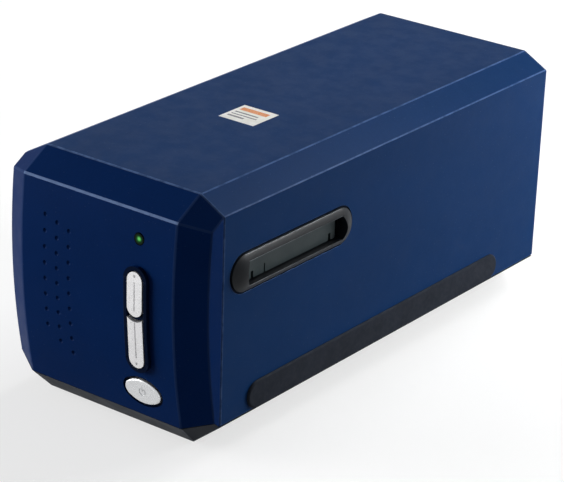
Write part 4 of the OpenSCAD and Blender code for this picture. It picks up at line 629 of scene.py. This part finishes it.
def baked(ob, mat, width, segments, flat, cuts):
    """Rounds the weighted edges and cuts the strips out, leaving no modifier."""
    if width:
        m = ob.modifiers.new("edges", "BEVEL")
        m.width = width * MM
        m.segments = segments
        m.limit_method = "WEIGHT"
        m.use_clamp_overlap = False
        m.material = 1
        m.miter_outer = "MITER_SHARP"
    cutters = []
    if cuts:
        ob.modifiers.new("triangles", "TRIANGULATE")
        bpy.context.view_layer.update()
        skin = BVHTree.FromObject(ob, bpy.context.evaluated_depsgraph_get())
        cutters = [cutter(rows, depth, skin) for rows, depth in cuts]
    for c in cutters:
        m = ob.modifiers.new("cut", "BOOLEAN")
        m.operation = "DIFFERENCE"
        m.solver = "MANIFOLD"
        m.object = c
    if flat:
        ob.modifiers.new("normals", "WEIGHTED_NORMAL").keep_sharp = True
    for _ in range(2):  # the second place tells the bevel's faces from the rest
        ob.data.materials.append(mat)
    bpy.context.view_layer.update()
    done = bpy.data.meshes.new_from_object(ob.evaluated_get(bpy.context.evaluated_depsgraph_get()))
    ob.modifiers.clear()
    ob.data = done
    for c in cutters:
        bpy.data.meshes.remove(c.data)


def mark_edge_wear_and_highlight(me, edge_highlight):
    """Writes the share of pale edge colour, scuffing or a painted highlight, that each face of the bevels
    gets, and takes their own material place away.
    """
    idx = np.zeros(len(me.polygons), np.int32)
    me.polygons.foreach_get("material_index", idx)
    edge_share = [float(i) * (edge_highlight(p.center / MM) if edge_highlight else 1.0) for i, p in zip(idx, me.polygons)]
    me.attributes.new("edge_wear_and_highlight", "FLOAT", "FACE").data.foreach_set("value", edge_share)
    me.polygons.foreach_set("material_index", np.zeros(len(idx), np.int32))
    me.materials.pop(index=1)


# Places on the front
FRONT_Y = -124  # the front face lies before it
COLLAR_X = (14, 36)  # the collar round the scan buttons lies between these
COLLAR_SIDE = 8  # from the buttons' middle line to past the collar's side
COLLAR_END = 4  # from the buttons' ends to past the collar's end
POCKET_GAP = 0.8  # from a button to past the wall of its pocket
DIMPLES_X = -10  # the dimples lie left of it
TOP_EDGE_Z = 108.5  # the front's top edge lies above it,
TOP_EDGE_Y = -126  # before this
TOP_EDGE_HALF = 44.4  # and ends this far from the middle
# shares of painted shade right of the collar and in the dimples
COLLAR_SHADE, DIMPLE_SHADE = 0.8, 0.2


def in_collar(p):
    """True for a point of the raised collar round the scan buttons."""
    return COLLAR_X[0] < p.x < COLLAR_X[1] and p.y < FRONT_Y


def front_shade(p, outer):
    """Painted shade: dark in the pocket of the two scan buttons and on its collar's right wall, faint in
    the dimples, full on other faces behind the outer skin.
    """
    on_front = p.y < FRONT_Y
    off = p.x - upper_at[0]
    low, high = lower_at[2] - lower_half[2], upper_at[2] + upper_half[2]
    half_w = upper_half[0]
    if on_front and abs(off) < half_w and low < p.z < high:
        return 1.0
    if on_front and abs(off) < COLLAR_SIDE and low - COLLAR_END < p.z < high + COLLAR_END:
        from_axis = math.hypot(off, p.z - min(max(p.z, low + half_w), high - half_w))
        if from_axis < half_w + POCKET_GAP:
            return 1.0
        return COLLAR_SHADE if off > 1 and not outer else 0.0
    if on_front and p.x < DIMPLES_X:
        return 0.0 if outer else DIMPLE_SHADE
    return float(not outer)


def front_edge_highlight(p):
    """Painted highlight on the front's top edge, faint elsewhere."""
    top_edge = p.z > TOP_EDGE_Z and p.y < TOP_EDGE_Y and abs(p.x) < TOP_EDGE_HALF
    return 1.0 if top_edge else 0.08


def top_edge_highlight(p):
    """Painted highlight on the cover's edges, full near the front and fainter to the rear."""
    front_y, length, fade = -116, 250, 0.7
    return 1.0 - fade * (p.y - front_y) / length


# For small keys: every edge is rounded, however short, and the facets of curved faces are merged
ALL_ROUND = {"angle": 40, "short": 0.1, "rim_short": 0.1, "merge": 2.6}

dressed("top_cover", "housing", 0.7, 0.25, edge_highlight=top_edge_highlight)
dressed("front_bezel", "housing", 0.7, 0.25, skip=in_collar, sunk=front_shade, edge_highlight=front_edge_highlight)
dressed("base_tray", "housing", 0.5, 0.2)
dressed("rear_panel", "housing", 0.0, 0.0)
for side in ("right", "left"):
    dressed(side + "_slot_trim", "housing", 0.3, 0.3, angle=30, flat=False)
    dressed(side + "_side_strip", "housing", 0.0, 0.0)
dressed("upper_scan_button", "upper_button", 0.5, 0.5, **ALL_ROUND, cuts=(
    (line_rows(*UPPER_GROOVE), GROOVE_DEPTH), (dot_rows(*UPPER_DOT), DOT_DEPTH)))
dressed("lower_scan_button", "lower_button", 0.5, 0.5, **ALL_ROUND, cuts=(
    (line_rows(*LOWER_GROOVE), GROOVE_DEPTH), (dot_rows(*LOWER_DOT), DOT_DEPTH)))
dressed("power_button", "power_key", 0.8, 0.8, segments=4, **ALL_ROUND, cuts=(
    (ring_rows(SIGN_X, SIGN_Z, SIGN_R, SIGN_HALF_W), SIGN_DEPTH),
    (line_rows(SIGN_X, *(SIGN_Z + k * SIGN_R for k in SIGN_BAR), SIGN_HALF_W, 4), SIGN_DEPTH)))


# ---------- stage ----------

def plane(name, size, z):
    me = bpy.data.meshes.new(name)
    h = size / 2
    me.from_pydata([(-h, -h, z), (h, -h, z), (h, h, z), (-h, h, z)], [], [(0, 1, 2, 3)])
    return linked(name, me)


def floor_material():
    """Pale floor: white to the camera and in reflections, grey for the light that it throws back."""
    throws_back = (0.16, 0.17, 0.19, 1)
    glow_level, glow_share = 1.05, 0.62
    t = Tree("studio_floor")
    t.nt.nodes.remove(t.bsdf)
    seen = t.seen()
    grain = t.ramp(t.noise(60, 3, 0.5), 0.2, 0.8, 0.985, 1.0)
    white = t.mix(grain, (0.93, 0.93, 0.93, 1), (1, 1, 1, 1))
    matt = t.node("ShaderNodeBsdfDiffuse")
    t.put(matt.inputs["Color"], t.mix(seen, throws_back, white))
    glow = t.node("ShaderNodeEmission")
    t.put(glow.inputs["Color"], white)
    glow.inputs["Strength"].default_value = glow_level
    both = t.node("ShaderNodeMixShader")
    t.put(both.inputs[0], t.times(seen, glow_share))
    t.put(both.inputs[1], matt.outputs[0])
    t.put(both.inputs[2], glow.outputs[0])
    t.put(t.out.inputs[0], both.outputs[0])
    return t.mat


def studio_world(for_light, seen):
    """Sky of one level for the light that it gives and another for what the camera and reflections see."""
    world = bpy.data.worlds.new("studio")
    bpy.context.scene.world = world
    world.use_nodes = True
    g = Graph(world.node_tree)
    level = g.node("ShaderNodeMapRange")
    g.put(level.inputs["Value"], g.seen())
    level.inputs["To Min"].default_value = for_light
    level.inputs["To Max"].default_value = seen
    back = g.nt.nodes["Background"]
    back.inputs[0].default_value = (0.96, 0.98, 1.0, 1)
    g.put(back.inputs[1], level.outputs[0])


def area(name, at, to, size, power, diffuse=True, glossy=True):
    """Lamp at one point, aimed at another; size in metres and power in watts."""
    data = bpy.data.lights.new(name, "AREA")
    data.shape = "RECTANGLE"
    data.size, data.size_y = size
    data.energy = power
    ob = linked(name, data)
    aim = (Vector(to) - Vector(at)).to_track_quat("-Z", "Y")
    ob.matrix_world = Matrix.Translation(at) @ aim.to_matrix().to_4x4()
    ob.visible_camera = False
    ob.visible_diffuse = diffuse
    ob.visible_glossy = glossy


FLOOR_SIZE = 40  # metres
FLOOR_Z = -0.0002  # just under the feet
floor = plane("floor", FLOOR_SIZE, FLOOR_Z)
floor.data.materials.append(floor_material())
studio_world(for_light=0.16, seen=0.8)
area("back", (0.1, 1.95, 1.0), (0, 0, 0.06), (1.0, 1.0), 46, glossy=False)
area("sheen_top", (-1.15, 1.3, 0.5), (0, 0.05, 0.1), (0.6, 0.5), 0.1, diffuse=False)
area("sheen_chamfer", (0.163, 0.116, 0.289), (0.05, -0.1, 0.115), (0.1, 0.1), 1.0, diffuse=False)
area("rear_right", (0.32, 0.42, 0.16), (0.057, 0.06, 0.06), (0.2, 0.2), 2.7, glossy=False)
area("front_left", (-1.25, -0.82, 0.42), (0, -0.05, 0.06), (0.9, 0.9), 20)

# Camera fitted to the photograph
CAMERA_AT = (0.669835, -0.871050, 0.519366)
CAMERA_AIM = Vector((-0.56073983, 0.72773455, -0.39493451))
CAMERA_UP = Vector((-0.2607774, 0.29748256, 0.91842217))
lens = bpy.data.cameras.new("camera")
lens.sensor_fit = "HORIZONTAL"
lens.sensor_width = 36
lens.lens = 159.946
camera = linked("camera", lens)
back = -CAMERA_AIM.normalized()
right = CAMERA_UP.normalized().cross(back).normalized()
turn = Matrix((right, back.cross(right), back)).transposed().to_4x4()
camera.matrix_world = Matrix.Translation(CAMERA_AT) @ turn
bpy.context.scene.camera = camera
bpy.context.scene.view_settings.view_transform = "Standard"
